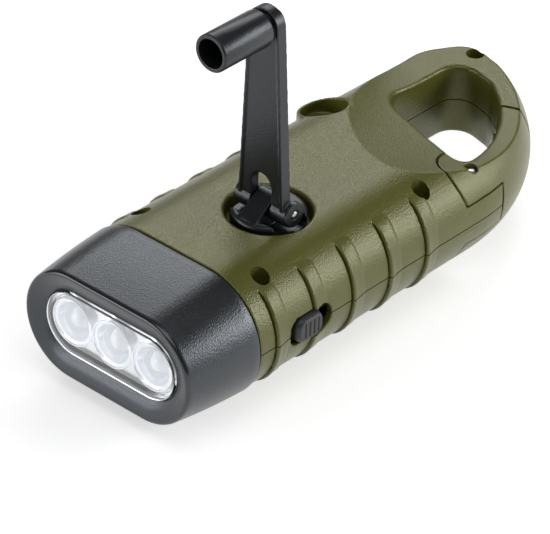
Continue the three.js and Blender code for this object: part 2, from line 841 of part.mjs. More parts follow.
// A bowl along X, wide at the front, that ends in the hole for a lamp.
function cup(y, grow) {
  const depth = reflectorDepth - reflectorFlangeThick;
  const profile = [new THREE.Vector2(0, 0)];
  for (let i = 0; i <= cupSteps; i++) {
    const share = i / cupSteps;
    const radius = ledRadius + fitGap + (cupRadius - ledRadius - fitGap) * Math.sqrt(1 - share);
    profile.push(new THREE.Vector2(radius + grow, (depth + reflectorFlangeThick) * share));
  }
  profile.push(new THREE.Vector2(0, depth + reflectorFlangeThick));
  const geometry = new THREE.LatheGeometry(profile, roundSides);
  return solid(geometry.rotateZ(-Math.PI / 2).translate(reflectorX, y, 0));
}

function reflector() {
  const halfWidth = lensOpeningHalfWidth + lensLap;
  const halfThick = lensOpeningHalfThick + lensLap;
  const flangeEnd = reflectorX + reflectorFlangeThick;
  const flange = stadiumBar([reflectorX, halfWidth, halfThick], [flangeEnd, halfWidth, halfThick]);
  const bowls = ledPlaces().map((y) => cup(y, cupWall));
  const inner = ledPlaces().map((y) => cup(y, 0));
  const end = reflectorX + reflectorDepth;
  const holes = ledPlaces().map((y) => barX(y, 0, ledRadius + fitGap, end - overrun, end + overrun));
  return piece("reflector", cut(joined(flange, bowls), inner, holes), chrome);
}

function led(y, number) {
  const tip = ledFlangeX - ledLength + ledRadius;
  const ball = new THREE.SphereGeometry(ledRadius, smallSides, smallSides / 2);
  const dome = solid(ball.rotateX(Math.PI / 2).translate(tip, y, 0));
  const body = barX(y, 0, ledRadius, tip, ledFlangeX + ledFlangeThick, smallSides);
  const flange = barX(y, 0, ledFlangeRadius, ledFlangeX, ledFlangeX + ledFlangeThick, smallSides);
  return piece(`led_${number}`, joined(body, flange, dome), glow);
}

function ledBoard() {
  const room = capInside(ledBoardX);
  const halfWidth = room.halfWidth - ledBoardEdge;
  const halfThick = room.halfThick - ledBoardEdge;
  const end = ledBoardX + ledBoardThick;
  const shape = stadiumBar([ledBoardX, halfWidth, halfThick], [end, halfWidth, halfThick]);
  return piece("led_board", shape, boardGreen);
}

// Crank

function hub() {
  const y0 = hubY - knuckleHalfLength;
  const y1 = hubY + knuckleHalfLength;
  const floor = recessFloorZ + runningGap;
  const disc = post(hubPlace, hubRadius, floor, hubTopZ - hubEdge, roundSides * 2);
  const edge = post(hubPlace, hubRadius, hubTopZ - hubEdge, hubTopZ, roundSides * 2, hubRadius - hubEdge);
  const shaft = post(hubPlace, hubShaftRadius, crankWheelZ + wheelThick + fitGap, floor + hubEdge);
  const tang = post(hubPlace, hubTangRadius, crankWheelZ, floor, tangSides);
  const barrel = barY(hubX, hingeZ, hingeRadius, y0, y1);
  const fairing = plateY(fairingOutline(), y0, y1);
  const solids = joined(cut(joined(disc, edge), hubPockets()), shaft, tang, barrel, fairing);
  const pinBore = barY(hubX, hingeZ, hingePinRadius + fitGap, y0 - overrun, y1 + overrun, smallSides);
  const boreTop = crankWheelZ + hubScrewDepth + fitGap;
  const screwBore = post(hubPlace, screwShankRadius + fitGap, 0, boreTop, smallSides);
  return piece("crank_hub", cut(solids, pinBore, screwBore), gloss);
}

function fairingOutline() {
  return [
    new THREE.Vector2(hubX - hubFairingFront - hubEdge, hubTopZ - hubEdge),
    new THREE.Vector2(hubX + hingeRadius, hubTopZ - hubEdge),
    new THREE.Vector2(hubX + hingeRadius, hingeZ),
    new THREE.Vector2(hubX, hingeZ + hingeRadius / 2),
    new THREE.Vector2(hubX - hingeRadius, hingeZ + hingeRadius / 2),
    new THREE.Vector2(hubX - hubFairingFront, hubFairingZ),
  ];
}

// Room in the disc for the arm's knuckles and for its plate when it folds forward.
function hubPockets() {
  const inner = knuckleHalfLength;
  const outer = hubRadius + overrun;
  const x0 = hubX - hubPocketFront;
  const x1 = hubX + hubPocketRear;
  return [
    block(x0, x1, hubY + inner, hubY + outer, hubPocketFloorZ, hingeZ),
    block(x0, x1, hubY - outer, hubY - inner, hubPocketFloorZ, hingeZ),
  ];
}

function armOutline() {
  const foot = hingeZ + armFootRise;
  const top = new THREE.Vector2(0, knobZ);
  const taper = Math.asin((armFootHalfWidth - armTopHalfWidth) / armLength);
  return [
    new THREE.Vector2(-armFootHalfWidth, hingeZ),
    new THREE.Vector2(armFootHalfWidth, hingeZ),
    new THREE.Vector2(armFootHalfWidth, foot),
    ...arc(top, armTopHalfWidth, taper, Math.PI - taper, arcStep * 1.5),
    new THREE.Vector2(-armFootHalfWidth, foot),
  ].map((p) => new THREE.Vector2(p.x + hubY, p.y));
}

// The arch that the hub's knuckle stands in.
function armWindow() {
  const half = knuckleHalfLength + runningGap;
  const centre = new THREE.Vector2(hubY, hingeZ + armWindowRise - half);
  const under = hingeZ - hingeRadius - overrun;
  return [
    new THREE.Vector2(hubY - half, under),
    new THREE.Vector2(hubY + half, under),
    ...arc(centre, half, 0, Math.PI, arcStep * 2),
  ];
}

function crankArm() {
  const x0 = hubX - armFaceOffset;
  const x1 = x0 + armThick;
  const blade = plateX(armOutline(), x0, x1);
  const barrel = barY(hubX, hingeZ, hingeRadius, hubY - hingeHalfLength, hubY + hingeHalfLength);
  const boss = barX(hubY, knobZ, armBossRadius, x0 - armBossLength, x0 + armThick / 2);
  const window = plateX(armWindow(), x0 - overrun, hubX + hingeRadius + overrun);
  const pinRoom = hingePinRadius + fitGap;
  const pinBore = barY(hubX, hingeZ, pinRoom, hubY - hubRadius, hubY + hubRadius, smallSides);
  const spindleBore = barX(hubY, knobZ, spindleRadius + fitGap, x0 - overrun, x1 + overrun, smallSides);
  return piece("crank_arm", cut(joined(blade, barrel, boss), window, pinBore, spindleBore), gloss);
}

function hingePin() {
  const end = hingeHalfLength - fitGap;
  const shape = barY(hubX, hingeZ, hingePinRadius, hubY - end, hubY + end, smallSides);
  return piece("arm_hinge_pin", shape, steel);
}

function knob() {
  const x0 = knobFaceX - knobLength;
  const tube = barX(hubY, knobZ, knobRadius, x0, knobFaceX);
  const bore = barX(hubY, knobZ, knobRadius - knobWall, x0 - overrun, knobFaceX - knobWeb);
  const hole = barX(hubY, knobZ, spindleRadius + fitGap, x0, knobFaceX + overrun, smallSides);
  return piece("crank_knob", cut(tube, bore, hole), gloss);
}

function knobSpindle() {
  const back = hubX - armFaceOffset + armThick;
  const headX = knobFaceX - knobWeb - runningGap;
  const shaft = barX(hubY, knobZ, spindleRadius, headX - spindleHeadLength, back, smallSides);
  const head = barX(
    hubY,
    knobZ,
    spindleRadius,
    headX - spindleHeadLength,
    headX,
    smallSides,
    spindleHeadRadius,
  );
  return piece("knob_spindle", joined(shaft, head), steel);
}

// Gear train

function meshDistance(teeth, mate) {
  return (gearModule * (teeth + mate)) / 2;
}

// A toothed wheel at the origin with one tooth on a direction.
function toothed(teeth, direction, z0, z1) {
  const pitch = (gearModule * teeth) / 2;
  const tip = pitch + gearModule * toothRiseShare;
  const root = pitch - gearModule * toothFallShare;
  const step = (Math.PI * 2) / teeth;
  const centre = new THREE.Vector2(0, 0);
  const outline = [];
  for (let i = 0; i < teeth; i++) {
    const middle = direction + step * i;
    outline.push(stepFrom(centre, root, middle - (step * toothRootShare) / 2));
    outline.push(stepFrom(centre, tip, middle - (step * toothTipShare) / 2));
    outline.push(stepFrom(centre, tip, middle + (step * toothTipShare) / 2));
    outline.push(stepFrom(centre, root, middle + (step * toothRootShare) / 2));
  }
  return plate(outline, z0, z1);
}

// The direction that puts a gap of a wheel where its mate's tooth comes in.
const gapDirection = (teeth, direction) => direction + Math.PI + Math.PI / teeth;

function moved(shape, place) {
  return shape.translate([place.x, place.y, 0]);
}

function crankGear() {
  const wheel = toothed(crankTeeth, secondDirection, crankWheelZ, crankWheelZ + wheelThick);
  const bore = post(new THREE.Vector2(), hubTangRadius + fitGap, 0, bodyHalfThick, tangSides);
  return piece("crank_gear", moved(cut(wheel, bore), hubPlace), nylon);
}

function compoundGear(name, place, pinionZ, wheelZ, wheelTeeth, fromDirection, toDirection) {
  const pinionLow = Math.min(pinionZ, wheelZ + wheelThick / 2);
  const turn = gapDirection(pinionTeeth, fromDirection);
  const pinion = toothed(pinionTeeth, turn, pinionLow, pinionZ + wheelThick);
  const wheel = toothed(wheelTeeth, toDirection, wheelZ, wheelZ + wheelThick);
  const bore = post(new THREE.Vector2(), axleRadius + fitGap, -bodyHalfThick, bodyHalfThick, smallSides);
  return piece(name, moved(cut(joined(pinion, wheel), bore), place), nylon);
}

function rotorPinion() {
  const turn = gapDirection(rotorTeeth, rotorDirection);
  const gear = toothed(rotorTeeth, turn, thirdWheelZ, thirdWheelZ + wheelThick);
  const radius = rotorShaftRadius + fitGap;
  const bore = post(new THREE.Vector2(), radius, -bodyHalfThick, bodyHalfThick, smallSides);
  return piece("rotor_pinion", moved(cut(gear, bore), rotorPlace), brass);
}

function gearAxle(name, place, topZ) {
  const z0 = plateTopZ - plateThick + fitGap;
  return piece(name, post(place, axleRadius, z0, topZ, smallSides), steel);
}

function hubWasher() {
  const top = crankWheelZ - fitGap;
  const ring = post(hubPlace, hubWasherRadius, top - hubWasherThick, top, smallSides);
  const bore = post(hubPlace, screwShankRadius + fitGap, 0, bodyHalfThick, smallSides);
  return piece("hub_washer", cut(ring, bore), steel);
}

function hubScrew() {
  const top = crankWheelZ - hubWasherThick - fitGap * 2;
  const head = post(hubPlace, hubScrewHeadRadius, top - hubScrewHeadHeight, top, smallSides);
  const middle = top - hubScrewHeadHeight / 2;
  const shank = post(hubPlace, screwShankRadius, middle, crankWheelZ + hubScrewDepth, smallSides);
  return piece("hub_screw", joined(head, shank), steel);
}

function gearPlate() {
  const outline = roundedBox(plateX0, plateX1, plateY0, plateY1, plateCorner);
  const shape = plate(outline, plateTopZ - plateThick, plateTopZ);
  const holes = [secondPlace, thirdPlace].map((place) =>
    post(place, axleRadius + fitGap, -bodyHalfThick, 0, smallSides),
  );
  const bearing = post(rotorPlace, rotorShaftRadius + fitGap, -bodyHalfThick, 0, smallSides);
  const rearScrew = new THREE.Vector2(rearScrewX, rearScrewY);
  const bossRoom = screwShankRadius + screwBossWall + runningGap;
  const notch = post(rearScrew, bossRoom, -bodyHalfThick, 0, smallSides);
  return piece("gear_plate", cut(shape, holes, bearing, notch), nylon);
}

// Generator

function rotorShaft() {
  const z0 = statorTopZ - statorHeight + fitGap;
  const z1 = thirdWheelZ + wheelThick + fitGap;
  return piece("rotor_shaft", post(rotorPlace, rotorShaftRadius, z0, z1, smallSides), steel);
}

function rotorMagnet() {
  const z0 = statorTopZ - statorHeight + statorWall + coilAirGap;
  const ring = post(rotorPlace, magnetRadius, z0, z0 + magnetLength);
  const bore = post(rotorPlace, rotorShaftRadius + fitGap, -bodyHalfThick, 0, smallSides);
  return piece("rotor_magnet", cut(ring, bore), magnetGrey);
}

function statorFrame() {
  const floor = statorTopZ - statorHeight;
  const can = post(rotorPlace, statorRadius, floor, statorTopZ);
  const hollow = post(rotorPlace, statorRadius - statorWall, floor + statorWall, statorTopZ + overrun);
  const bearing = post(rotorPlace, rotorShaftRadius + fitGap, floor - overrun, floor + overrun, smallSides);
  return piece("stator_frame", cut(can, hollow, bearing), steel);
}

function statorCoil() {
  const outer = statorRadius - statorWall - fitGap;
  const z0 = statorTopZ - statorHeight + statorWall + fitGap;
  const ring = post(rotorPlace, outer, z0, z0 + coilHeight);
  const bore = post(rotorPlace, magnetRadius + coilAirGap, z0 - overrun, statorTopZ);
  const groove = cut(
    post(rotorPlace, outer + overrun, z0 + statorWall, z0 + coilHeight - statorWall),
    post(rotorPlace, outer - coilWall / 4, z0, z0 + coilHeight),
  );
  return piece("stator_coil", cut(ring, bore, groove), copper);
}

// Solar cell

// The frame's outline, straight in front and bowed at the rear.
function solarOutline(grow) {
  const half = solarHalfWidth + grow;
  const front = roundedOutline([
    { at: new THREE.Vector2(solarX1 + grow, half), radius: solarCorner },
    { at: new THREE.Vector2(solarX0 - grow, half), radius: solarCorner },
    { at: new THREE.Vector2(solarX0 - grow, -half), radius: solarCorner },
    { at: new THREE.Vector2(solarX1 + grow, -half), radius: solarCorner },
  ]);
  const bow = solarBowShares.map(
    (share) => new THREE.Vector2(solarX1 + grow + solarBulge * (1 - share ** 2), half * share),
  );
  return [...front, ...bow];
}

function windowOutline(grow) {
  const half = windowHalfWidth + grow;
  return roundedBox(windowX0 - grow, windowX1 + grow, -half, half, windowCorner);
}

function solarFrame() {
  const ringAt = (grow, z) => solarOutline(grow).map((p) => new THREE.Vector3(p.x, p.y, z));
  const form = loft(
    [ringAt(-solarChamfer, -faceZ), ringAt(0, -faceZ + solarChamfer), ringAt(0, -faceZ + solarDepth)],
    acrossZ,
  );
  const sill = -faceZ + windowRecess;
  const windowHole = plate(windowOutline(0), -faceZ - overrun, 0);
  const rebate = plate(windowOutline(cellLap + fitGap), sill, 0);
  return piece("solar_frame", cut(form, windowHole, rebate), black);
}

function solarCell() {
  const z0 = -faceZ + windowRecess + fitGap;
  return piece("solar_cell", plate(windowOutline(cellLap), z0, z0 + cellThick), cellTan);
}

const solarPocket = () => plate(solarOutline(fitGap), -faceZ - overrun, trayFloorZ);
const solarTray = () => plate(solarOutline(fitGap + trayWall), -bodyHalfThick, trayTopZ);

// Electronics

function mainBoard() {
  const shape = block(boardX0, boardX1, -boardHalfWidth, boardHalfWidth, boardZ, boardZ + boardThick);
  return piece("main_board", shape, boardGreen);
}

const rowHalf = (cellCount * buttonLength + (cellCount - 1) * fitGap) / 2;

function batteryHolder() {
  const half = buttonRadius + holderWall;
  const end = rowHalf + holderWall + fitGap;
  const top = holderZ + holderWall + buttonRadius * holderRiseShare;
  const box = block(buttonX - half, buttonX + half, -end, end, holderZ, top);
  const room = barY(buttonX, buttonZ, buttonRadius + fitGap, -rowHalf - fitGap, rowHalf + fitGap);
  return piece("battery_holder", cut(box, room), black);
}

function batteryCell(number) {
  const y0 = -rowHalf + number * (buttonLength + fitGap);
  const shape = barY(buttonX, buttonZ, buttonRadius, y0, y0 + buttonLength);
  return piece(`battery_cell_${number + 1}`, shape, steel);
}

// Slide switch

const thumbFootY = -bodyHalfWidth + wall + thumbFlangeThick + runningGap * 3;
const leverX = thumbX0 + (thumbLength - leverWidth) / 2;

function thumbPiece() {
  const x1 = thumbX0 + thumbLength;
  const half = slotHalfHeight - runningGap - fitGap;
  const face = -bodyHalfWidth - thumbProud;
  const flangeY = thumbFootY - thumbFlangeThick;
  const outline = roundedOutline(
    [
      [thumbX0, -half],
      [x1, -half],
      [x1, half],
      [thumbX0, half],
    ].map(([x, z]) => ({ at: new THREE.Vector2(x, z), radius: half / 2 })),
  );
  const button = plateY(outline, face, thumbFootY);
  const flangeHalf = slotHalfHeight + fitGap * 4;
  const x0 = thumbX0 - thumbFlangeReach;
  const flange = block(x0, x1 + thumbFlangeReach, flangeY, thumbFootY, -flangeHalf, flangeHalf);
  return piece("switch_thumb", cut(joined(button, flange), thumbCuts(face), leverSocket()), black);
}

function thumbCuts(face) {
  const step = thumbLength / (thumbGrooves + 1);
  const cuts = [];
  for (let i = 1; i <= thumbGrooves; i++) {
    const x = thumbX0 + step * i;
    const width = step / 4;
    cuts.push(block(x - width, x + width, face - overrun, face + thumbGrooveDepth, -overrun, overrun));
  }
  return cuts;
}

function leverSocket() {
  const x0 = leverX - fitGap;
  const x1 = leverX + leverWidth + fitGap;
  const half = leverWidth / 2 + fitGap;
  return block(x0, x1, thumbFootY - thumbFlangeThick, thumbFootY + overrun, -half, half);
}

function switchLever() {
  const half = leverWidth / 2;
  const y0 = thumbFootY - thumbFlangeThick + fitGap;
  return piece("switch_lever", block(leverX, leverX + leverWidth, y0, y0 + leverReach, -half, half), nylon);
}

function switchCan() {
  const y0 = thumbFootY + runningGap * 2;
  const x0 = leverX - (canLength - leverWidth - slideTravel) / 2;
  const half = leverWidth / 2 + runningGap;
  const box = block(x0, x0 + canLength, y0, y0 + canDepth, -canHalfHeight, canHalfHeight);
  const roomX1 = leverX + leverWidth + slideTravel + runningGap;
  const room = block(leverX - runningGap, roomX1, y0 - overrun, y0 + leverReach, -half, half);
  return piece("switch_can", cut(box, room), steel);
}

// Carabiner gate

function latchLip() {
  const tip = stepFrom(gatePin, gateReach, latchAngle);
  const radius = gateArcRadius - ringGateBand;
  const around = Math.atan2(tip.y - gateArcCentre.y, tip.x - gateArcCentre.x);
  const inset = [runningGap, runningGap + latchLipThick];
  const turn = (length) => around + length / radius;
  const point = (length, depth) => stepFrom(gateArcCentre, radius - depth, turn(length));
  const outline = [
    point(-latchLipRoot, -latchLipThick / 2),
    point(-latchLipRoot, inset[1]),
    point(latchLipLength, inset[1]),
    point(latchLipLength, inset[0]),
    point(-gateGap * 2, inset[0]),
    point(-gateGap * 2, -latchLipThick / 2),
  ];
  return plate(outline, -latchHalfHeight, latchHalfHeight);
}

function gate() {
  const region = outerForm().intersect(gateRegion(0));
  const tongueRoom = tongueDisc(gateGap, tongueHalfHeight + runningGap);
  const bore = post(gatePin, gatePinRadius + fitGap, -bodyHalfThick, bodyHalfThick, smallSides);
  return piece("carabiner_gate", cut(joined(cut(region, tongueRoom), latchLip()), bore), olive);
}

function gatePinPiece() {
  const half = tailHalfThick + gatePinSink / 2;
  return piece("gate_pin", post(gatePin, gatePinRadius, -half, half - gatePinSink, smallSides), steel);
}

function gateSpring() {
  const ring = post(gatePin, springRadius, -springHalfHeight, springHalfHeight, roundSides);
  const bore = post(gatePin, springRadius - springWire, -bodyHalfThick, bodyHalfThick, roundSides);
  return piece("gate_spring", cut(ring, bore), steel);
}

// Assembly

const torch = new THREE.Group();
torch.position.set(-bodyLength / 2, 0, faceZ);
torch.add(topShell(), bottomShell(), ...screwPlaces.map((place, i) => caseScrew(place, i + 1)));
torch.add(headCap(), lens(), reflector(), ledBoard(), ...ledPlaces().map((y, i) => led(y, i + 1)));
torch.add(hub(), crankArm(), hingePin(), knob(), knobSpindle());
torch.add(crankGear(), hubWasher(), hubScrew(), gearPlate());
torch.add(
  compoundGear(
    "second_gear",
    secondPlace,
    crankWheelZ,
    secondWheelZ,
    secondWheelTeeth,
    secondDirection,
    thirdDirection,
  ),
  compoundGear(
    "third_gear",
    thirdPlace,
    secondWheelZ,
    thirdWheelZ,
    thirdWheelTeeth,
    thirdDirection,
    rotorDirection,
  ),
  gearAxle("second_axle", secondPlace, bodyHalfThick - wall - fitGap * 2),
  gearAxle("third_axle", thirdPlace, bodyHalfThick - wall - fitGap * 2),
);
torch.add(rotorPinion(), rotorShaft(), rotorMagnet(), statorFrame(), statorCoil());
torch.add(solarFrame(), solarCell(), mainBoard(), batteryHolder());
for (let i = 0; i < cellCount; i++) torch.add(batteryCell(i));
torch.add(thumbPiece(), switchLever(), switchCan());
torch.add(gate(), gatePinPiece(), gateSpring());

const part = new THREE.Group();
part.add(torch);

export default part;
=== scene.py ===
import json
import math

import bmesh
import bpy
from mathutils import Matrix, Vector


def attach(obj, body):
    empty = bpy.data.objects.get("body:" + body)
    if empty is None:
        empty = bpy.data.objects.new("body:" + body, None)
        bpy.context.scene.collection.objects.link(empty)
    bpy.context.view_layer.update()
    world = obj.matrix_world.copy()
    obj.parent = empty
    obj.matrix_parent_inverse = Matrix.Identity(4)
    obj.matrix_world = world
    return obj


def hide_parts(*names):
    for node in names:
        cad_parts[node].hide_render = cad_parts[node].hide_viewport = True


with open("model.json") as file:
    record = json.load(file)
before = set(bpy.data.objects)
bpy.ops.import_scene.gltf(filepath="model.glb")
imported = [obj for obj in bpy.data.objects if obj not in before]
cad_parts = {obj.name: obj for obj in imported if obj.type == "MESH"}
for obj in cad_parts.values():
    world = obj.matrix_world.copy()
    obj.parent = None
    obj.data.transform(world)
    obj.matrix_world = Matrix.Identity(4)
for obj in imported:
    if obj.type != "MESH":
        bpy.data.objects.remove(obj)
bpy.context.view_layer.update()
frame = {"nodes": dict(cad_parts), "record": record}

# Everything is drawn in millimetres from the front rim of the head, then settled into the frame.
place = {"x": -71.5, "z": 16.44, "scale": 0.001}
tau = 2 * math.pi
through = 20  # from the middle of the body to well outside it
fine = 1.0  # coarser skins while trying things


# Selecting, placing and cutting

def clearAll():
    if bpy.context.object and bpy.context.object.mode != "OBJECT":
        bpy.ops.object.mode_set(mode="OBJECT")
    bpy.ops.object.select_all(action="DESELECT")


def take(obj):
    clearAll()
    obj.select_set(True)
    bpy.context.view_layer.objects.active = obj


def edit(obj, kind="VERT"):
    take(obj)
    bpy.ops.object.mode_set(mode="EDIT")
    bpy.ops.mesh.select_mode(type=kind)
    bpy.ops.mesh.select_all(action="DESELECT")
    return bmesh.from_edit_mesh(obj.data)


def choose(obj, test, kind="FACE"):
    live = edit(obj, kind)
    for item in {"FACE": live.faces, "VERT": live.verts}[kind]:
        if test(item):
            item.select_set(True)
    bmesh.update_edit_mesh(obj.data)


def outward(obj):
    edit(obj)
    bpy.ops.mesh.select_all(action="SELECT")
    bpy.ops.mesh.remove_doubles(threshold=0.0005)
    bpy.ops.mesh.normals_make_consistent(inside=False)
    clearAll()
    return obj


def closeLoop(obj, indices):
    live = edit(obj, "EDGE")
    live.verts.ensure_lookup_table()
    loop = {live.verts[i] for i in indices}
    for edge in live.edges:
        if edge.is_boundary and edge.verts[0] in loop and edge.verts[1] in loop:
            edge.select_set(True)
    bmesh.update_edit_mesh(obj.data)
    bpy.ops.mesh.edge_face_add()
    clearAll()


# a circle stretched to the first outline and extruded through the others
def loft(name, rings, ends=True):
    count = len(rings[0])
    clearAll()
    bpy.ops.mesh.primitive_circle_add(vertices=count, radius=1, fill_type="NOTHING")
    obj = bpy.context.object
    obj.name = name
    edit(obj, "EDGE")
    bpy.ops.mesh.select_all(action="SELECT")
    for number, outline in enumerate(rings):
        if number:
            bpy.ops.mesh.extrude_edges_move()
        live = bmesh.from_edit_mesh(obj.data)
        live.verts.ensure_lookup_table()
        for vert, spot in zip(live.verts[number * count:(number + 1) * count], outline):
            vert.co = spot
        bmesh.update_edit_mesh(obj.data)
    clearAll()
    if ends:
        closeLoop(obj, range(count))
        closeLoop(obj, range((len(rings) - 1) * count, len(rings) * count))
    return outward(obj)


# a place, from its level along an axis and its two other coordinates
def onAxis(axis, level, u, v):
    return {"x": (level, u, v), "y": (u, level, v), "z": (u, v, level)}[axis]


def step(spot, distance, angle):
    return (spot[0] + distance * math.cos(angle), spot[1] + distance * math.sin(angle))


# a turned piece along an axis, through pairs of radius and level; a closed profile has no end faces
def turned(name, axis, centre, profile, count=64, closed=False):
    rings = [[onAxis(axis, level, *step(centre, radius, tau * i / count)) for i in range(count)]
             for radius, level in profile]
    if closed:
        return loft(name, rings + [rings[0]], ends=False)
    return loft(name, rings)


def rod(name, axis, centre, radius, low, high, count=64):
    return turned(name, axis, centre, [(radius, low), (radius, high)], count)


# a flat outline given thickness along an axis
def slab(name, axis, outline, low, high):
    return loft(name, [[onAxis(axis, level, *spot) for spot in outline] for level in (low, high)])


def brick(name, x0, x1, y0, y1, z0, z1):
    clearAll()
    bpy.ops.mesh.primitive_cube_add(size=1, location=((x0 + x1) / 2, (y0 + y1) / 2, (z0 + z1) / 2))
    obj = bpy.context.object
    obj.name = name
    obj.scale = (x1 - x0, y1 - y0, z1 - z0)
    bpy.ops.object.transform_apply(location=True, rotation=True, scale=True)
    return obj


def copyOf(obj, name):
    take(obj)
    bpy.ops.object.duplicate()
    twin = bpy.context.object
    twin.name = name
    clearAll()
    return twin


def modify(obj, kind, **values):
    take(obj)
    modifier = obj.modifiers.new(kind.lower(), kind)
    for key, value in values.items():
        setattr(modifier, key, value)
    bpy.ops.object.modifier_apply(modifier=modifier.name)
    return obj


def combine(obj, tools, how="DIFFERENCE"):
    for tool in tools:
        modify(obj, "BOOLEAN", operation=how, solver="MANIFOLD", object=tool)
        bpy.data.objects.remove(tool, do_unlink=True)
    return obj


# an even skin over a cut form, its edges softened as a mould leaves them
def moulded(obj, voxel, rounds, limit=None):
    modify(obj, "REMESH", mode="VOXEL", voxel_size=voxel * fine)
    modify(obj, "SMOOTH", factor=0.5, iterations=rounds)
    faces = 2 * len(obj.data.polygons)
    if limit and faces > limit / fine:
        modify(obj, "DECIMATE", ratio=limit / fine / faces)
    return obj


def smooth(obj, angle=30):
    take(obj)
    bpy.ops.object.shade_smooth_by_angle(angle=math.radians(angle))
    clearAll()
    return obj


# from the drawing to the frame: scaled to metres and moved, with its place in its mesh
def settle(obj, look, nodes, rides="housing"):
    take(obj)
    obj.scale = (place["scale"],) * 3
    obj.location = (place["x"] * place["scale"], 0, place["z"] * place["scale"])
    bpy.ops.object.transform_apply(location=True, rotation=True, scale=True)
    obj.data.materials.clear()
    obj.data.materials.append(mats[look])
    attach(obj, rides)
    if nodes:
        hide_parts(*nodes)
    clearAll()
    return obj


# Outlines

def arc(centre, radius, start, end, count):
    return [step(centre, radius, start + (end - start) * i / count) for i in range(count + 1)]


# a polygon with rounded corners, each corner given as a place and a radius
def rounded(corners, count=10):
    out = []
    for i, (spot, radius) in enumerate(corners):
        if not radius:
            out.append(spot)
            continue
        at = Vector(spot)
        before = (Vector(corners[i - 1][0]) - at).normalized()
        after = (Vector(corners[(i + 1) % len(corners)][0]) - at).normalized()
        half = math.acos(max(-1, min(1, before.dot(after)))) / 2
        centre = at + (before + after).normalized() * radius / math.sin(half)
        first = at + before * radius / math.tan(half) - centre
        last = at + after * radius / math.tan(half) - centre
        start = math.atan2(first.y, first.x)
        turn = (math.atan2(last.y, last.x) - start + math.pi) % tau - math.pi
        out += arc(centre, radius, start, start + turn, count)
    return out


def roundedBox(x0, x1, half, radius, count=10):
    corners = ((x0, -half), (x1, -half), (x1, half), (x0, half))
    return rounded([(corner, radius) for corner in corners], count)


def stadium(halfWidth, halfThick, count=24):
    flat = halfWidth - halfThick
    right = arc((flat, 0), halfThick, -math.pi / 2, math.pi / 2, count)
    left = arc((-flat, 0), halfThick, math.pi / 2, 3 * math.pi / 2, count)
    return right + left


def stadiumLoft(name, stations, ends=True, count=24):
    rings = [[(x, p[0], p[1]) for p in stadium(w, t, count)] for x, w, t in stations]
    return loft(name, rings, ends)


# Shader groups

def groupTree(name, inputs, outputs):
    tree = bpy.data.node_groups.new(name, "ShaderNodeTree")
    for label, value in inputs.items():
        socket = tree.interface.new_socket(name=label, in_out="INPUT", socket_type="NodeSocketFloat")
        socket.default_value = value
    for label in outputs:
        tree.interface.new_socket(name=label, in_out="OUTPUT", socket_type="NodeSocketFloat")
    return tree, tree.nodes.new("NodeGroupInput"), tree.nodes.new("NodeGroupOutput")


def node(tree, kind, inputs=None, **settings):
    made = tree.nodes.new(kind)
    for key, value in settings.items():
        setattr(made, key, value)
    for label, value in (inputs or {}).items():
        made.inputs[label].default_value = value
    return made


# fine moulded grain: a height for the bump and a slow tone that drifts over the surface
def buildGrain():
    tree, inside, outside = groupTree("mouldedGrain", {"Grain": 2600.0, "Drift": 60.0}, ("Height", "Tone"))
    spot = node(tree, "ShaderNodeTexCoord")
    speck = node(tree, "ShaderNodeTexNoise", {"Detail": 3.0, "Roughness": 0.65})
    pit = node(tree, "ShaderNodeTexVoronoi")
    drift = node(tree, "ShaderNodeTexNoise", {"Detail": 2.0})
    both = node(tree, "ShaderNodeMath", operation="ADD")
    link = tree.links.new
    for texture, scale in ((speck, "Grain"), (pit, "Grain"), (drift, "Drift")):
        link(spot.outputs["Object"], texture.inputs["Vector"])
        link(inside.outputs[scale], texture.inputs["Scale"])
    link(speck.outputs["Fac"], both.inputs[0])
    link(pit.outputs["Distance"], both.inputs[1])
    link(both.outputs[0], outside.inputs["Height"])
    link(drift.outputs["Fac"], outside.inputs["Tone"])
    return tree


# edges rubbed lighter in patches
def buildEdges():
    tree, inside, outside = groupTree("edgeRub", {"Reach": 0.53}, ("Edge",))
    shape = node(tree, "ShaderNodeNewGeometry")
    spot = node(tree, "ShaderNodeTexCoord")
    noise = node(tree, "ShaderNodeTexNoise", {"Scale": 400.0, "Detail": 4.0})
    edge = node(tree, "ShaderNodeMapRange", {"From Max": 0.62})
    worn = node(tree, "ShaderNodeMath", operation="MULTIPLY")
    link = tree.links.new
    link(shape.outputs["Pointiness"], edge.inputs["Value"])
    link(inside.outputs["Reach"], edge.inputs["From Min"])
    link(spot.outputs["Object"], noise.inputs["Vector"])
    link(edge.outputs["Result"], worn.inputs[0])
    link(noise.outputs["Fac"], worn.inputs[1])
    link(worn.outputs[0], outside.inputs["Edge"])
    return tree


grainGroup = buildGrain()
edgeGroup = buildEdges()


# a mask over two colours, each of them a colour or a socket
def blendColours(tree, mask, first, second):
    mix = node(tree, "ShaderNodeMix", data_type="RGBA")
    for socket, colour in ((mix.inputs[6], first), (mix.inputs[7], second)):
        if isinstance(colour, tuple):
            socket.default_value = (*colour, 1)
        else:
            tree.links.new(colour, socket)
    tree.links.new(mask, mix.inputs[0])
    return mix.outputs[2]


# what a finish has where its look says nothing
plain = dict(
    depth=0.00003, reach=0.53, metal=0.0, ior=1.5, specular=0.5, tint=(1.0, 1.0, 1.0), coat=0.0,
    coatRough=0.1, clear=0.0, glow=(1.0, 1.0, 1.0), glowStrength=0.0,
)
sockets = {
    "Metallic": "metal", "IOR": "ior", "Specular IOR Level": "specular", "Coat Weight": "coat",
    "Coat Roughness": "coatRough", "Transmission Weight": "clear", "Emission Strength": "glowStrength",
}


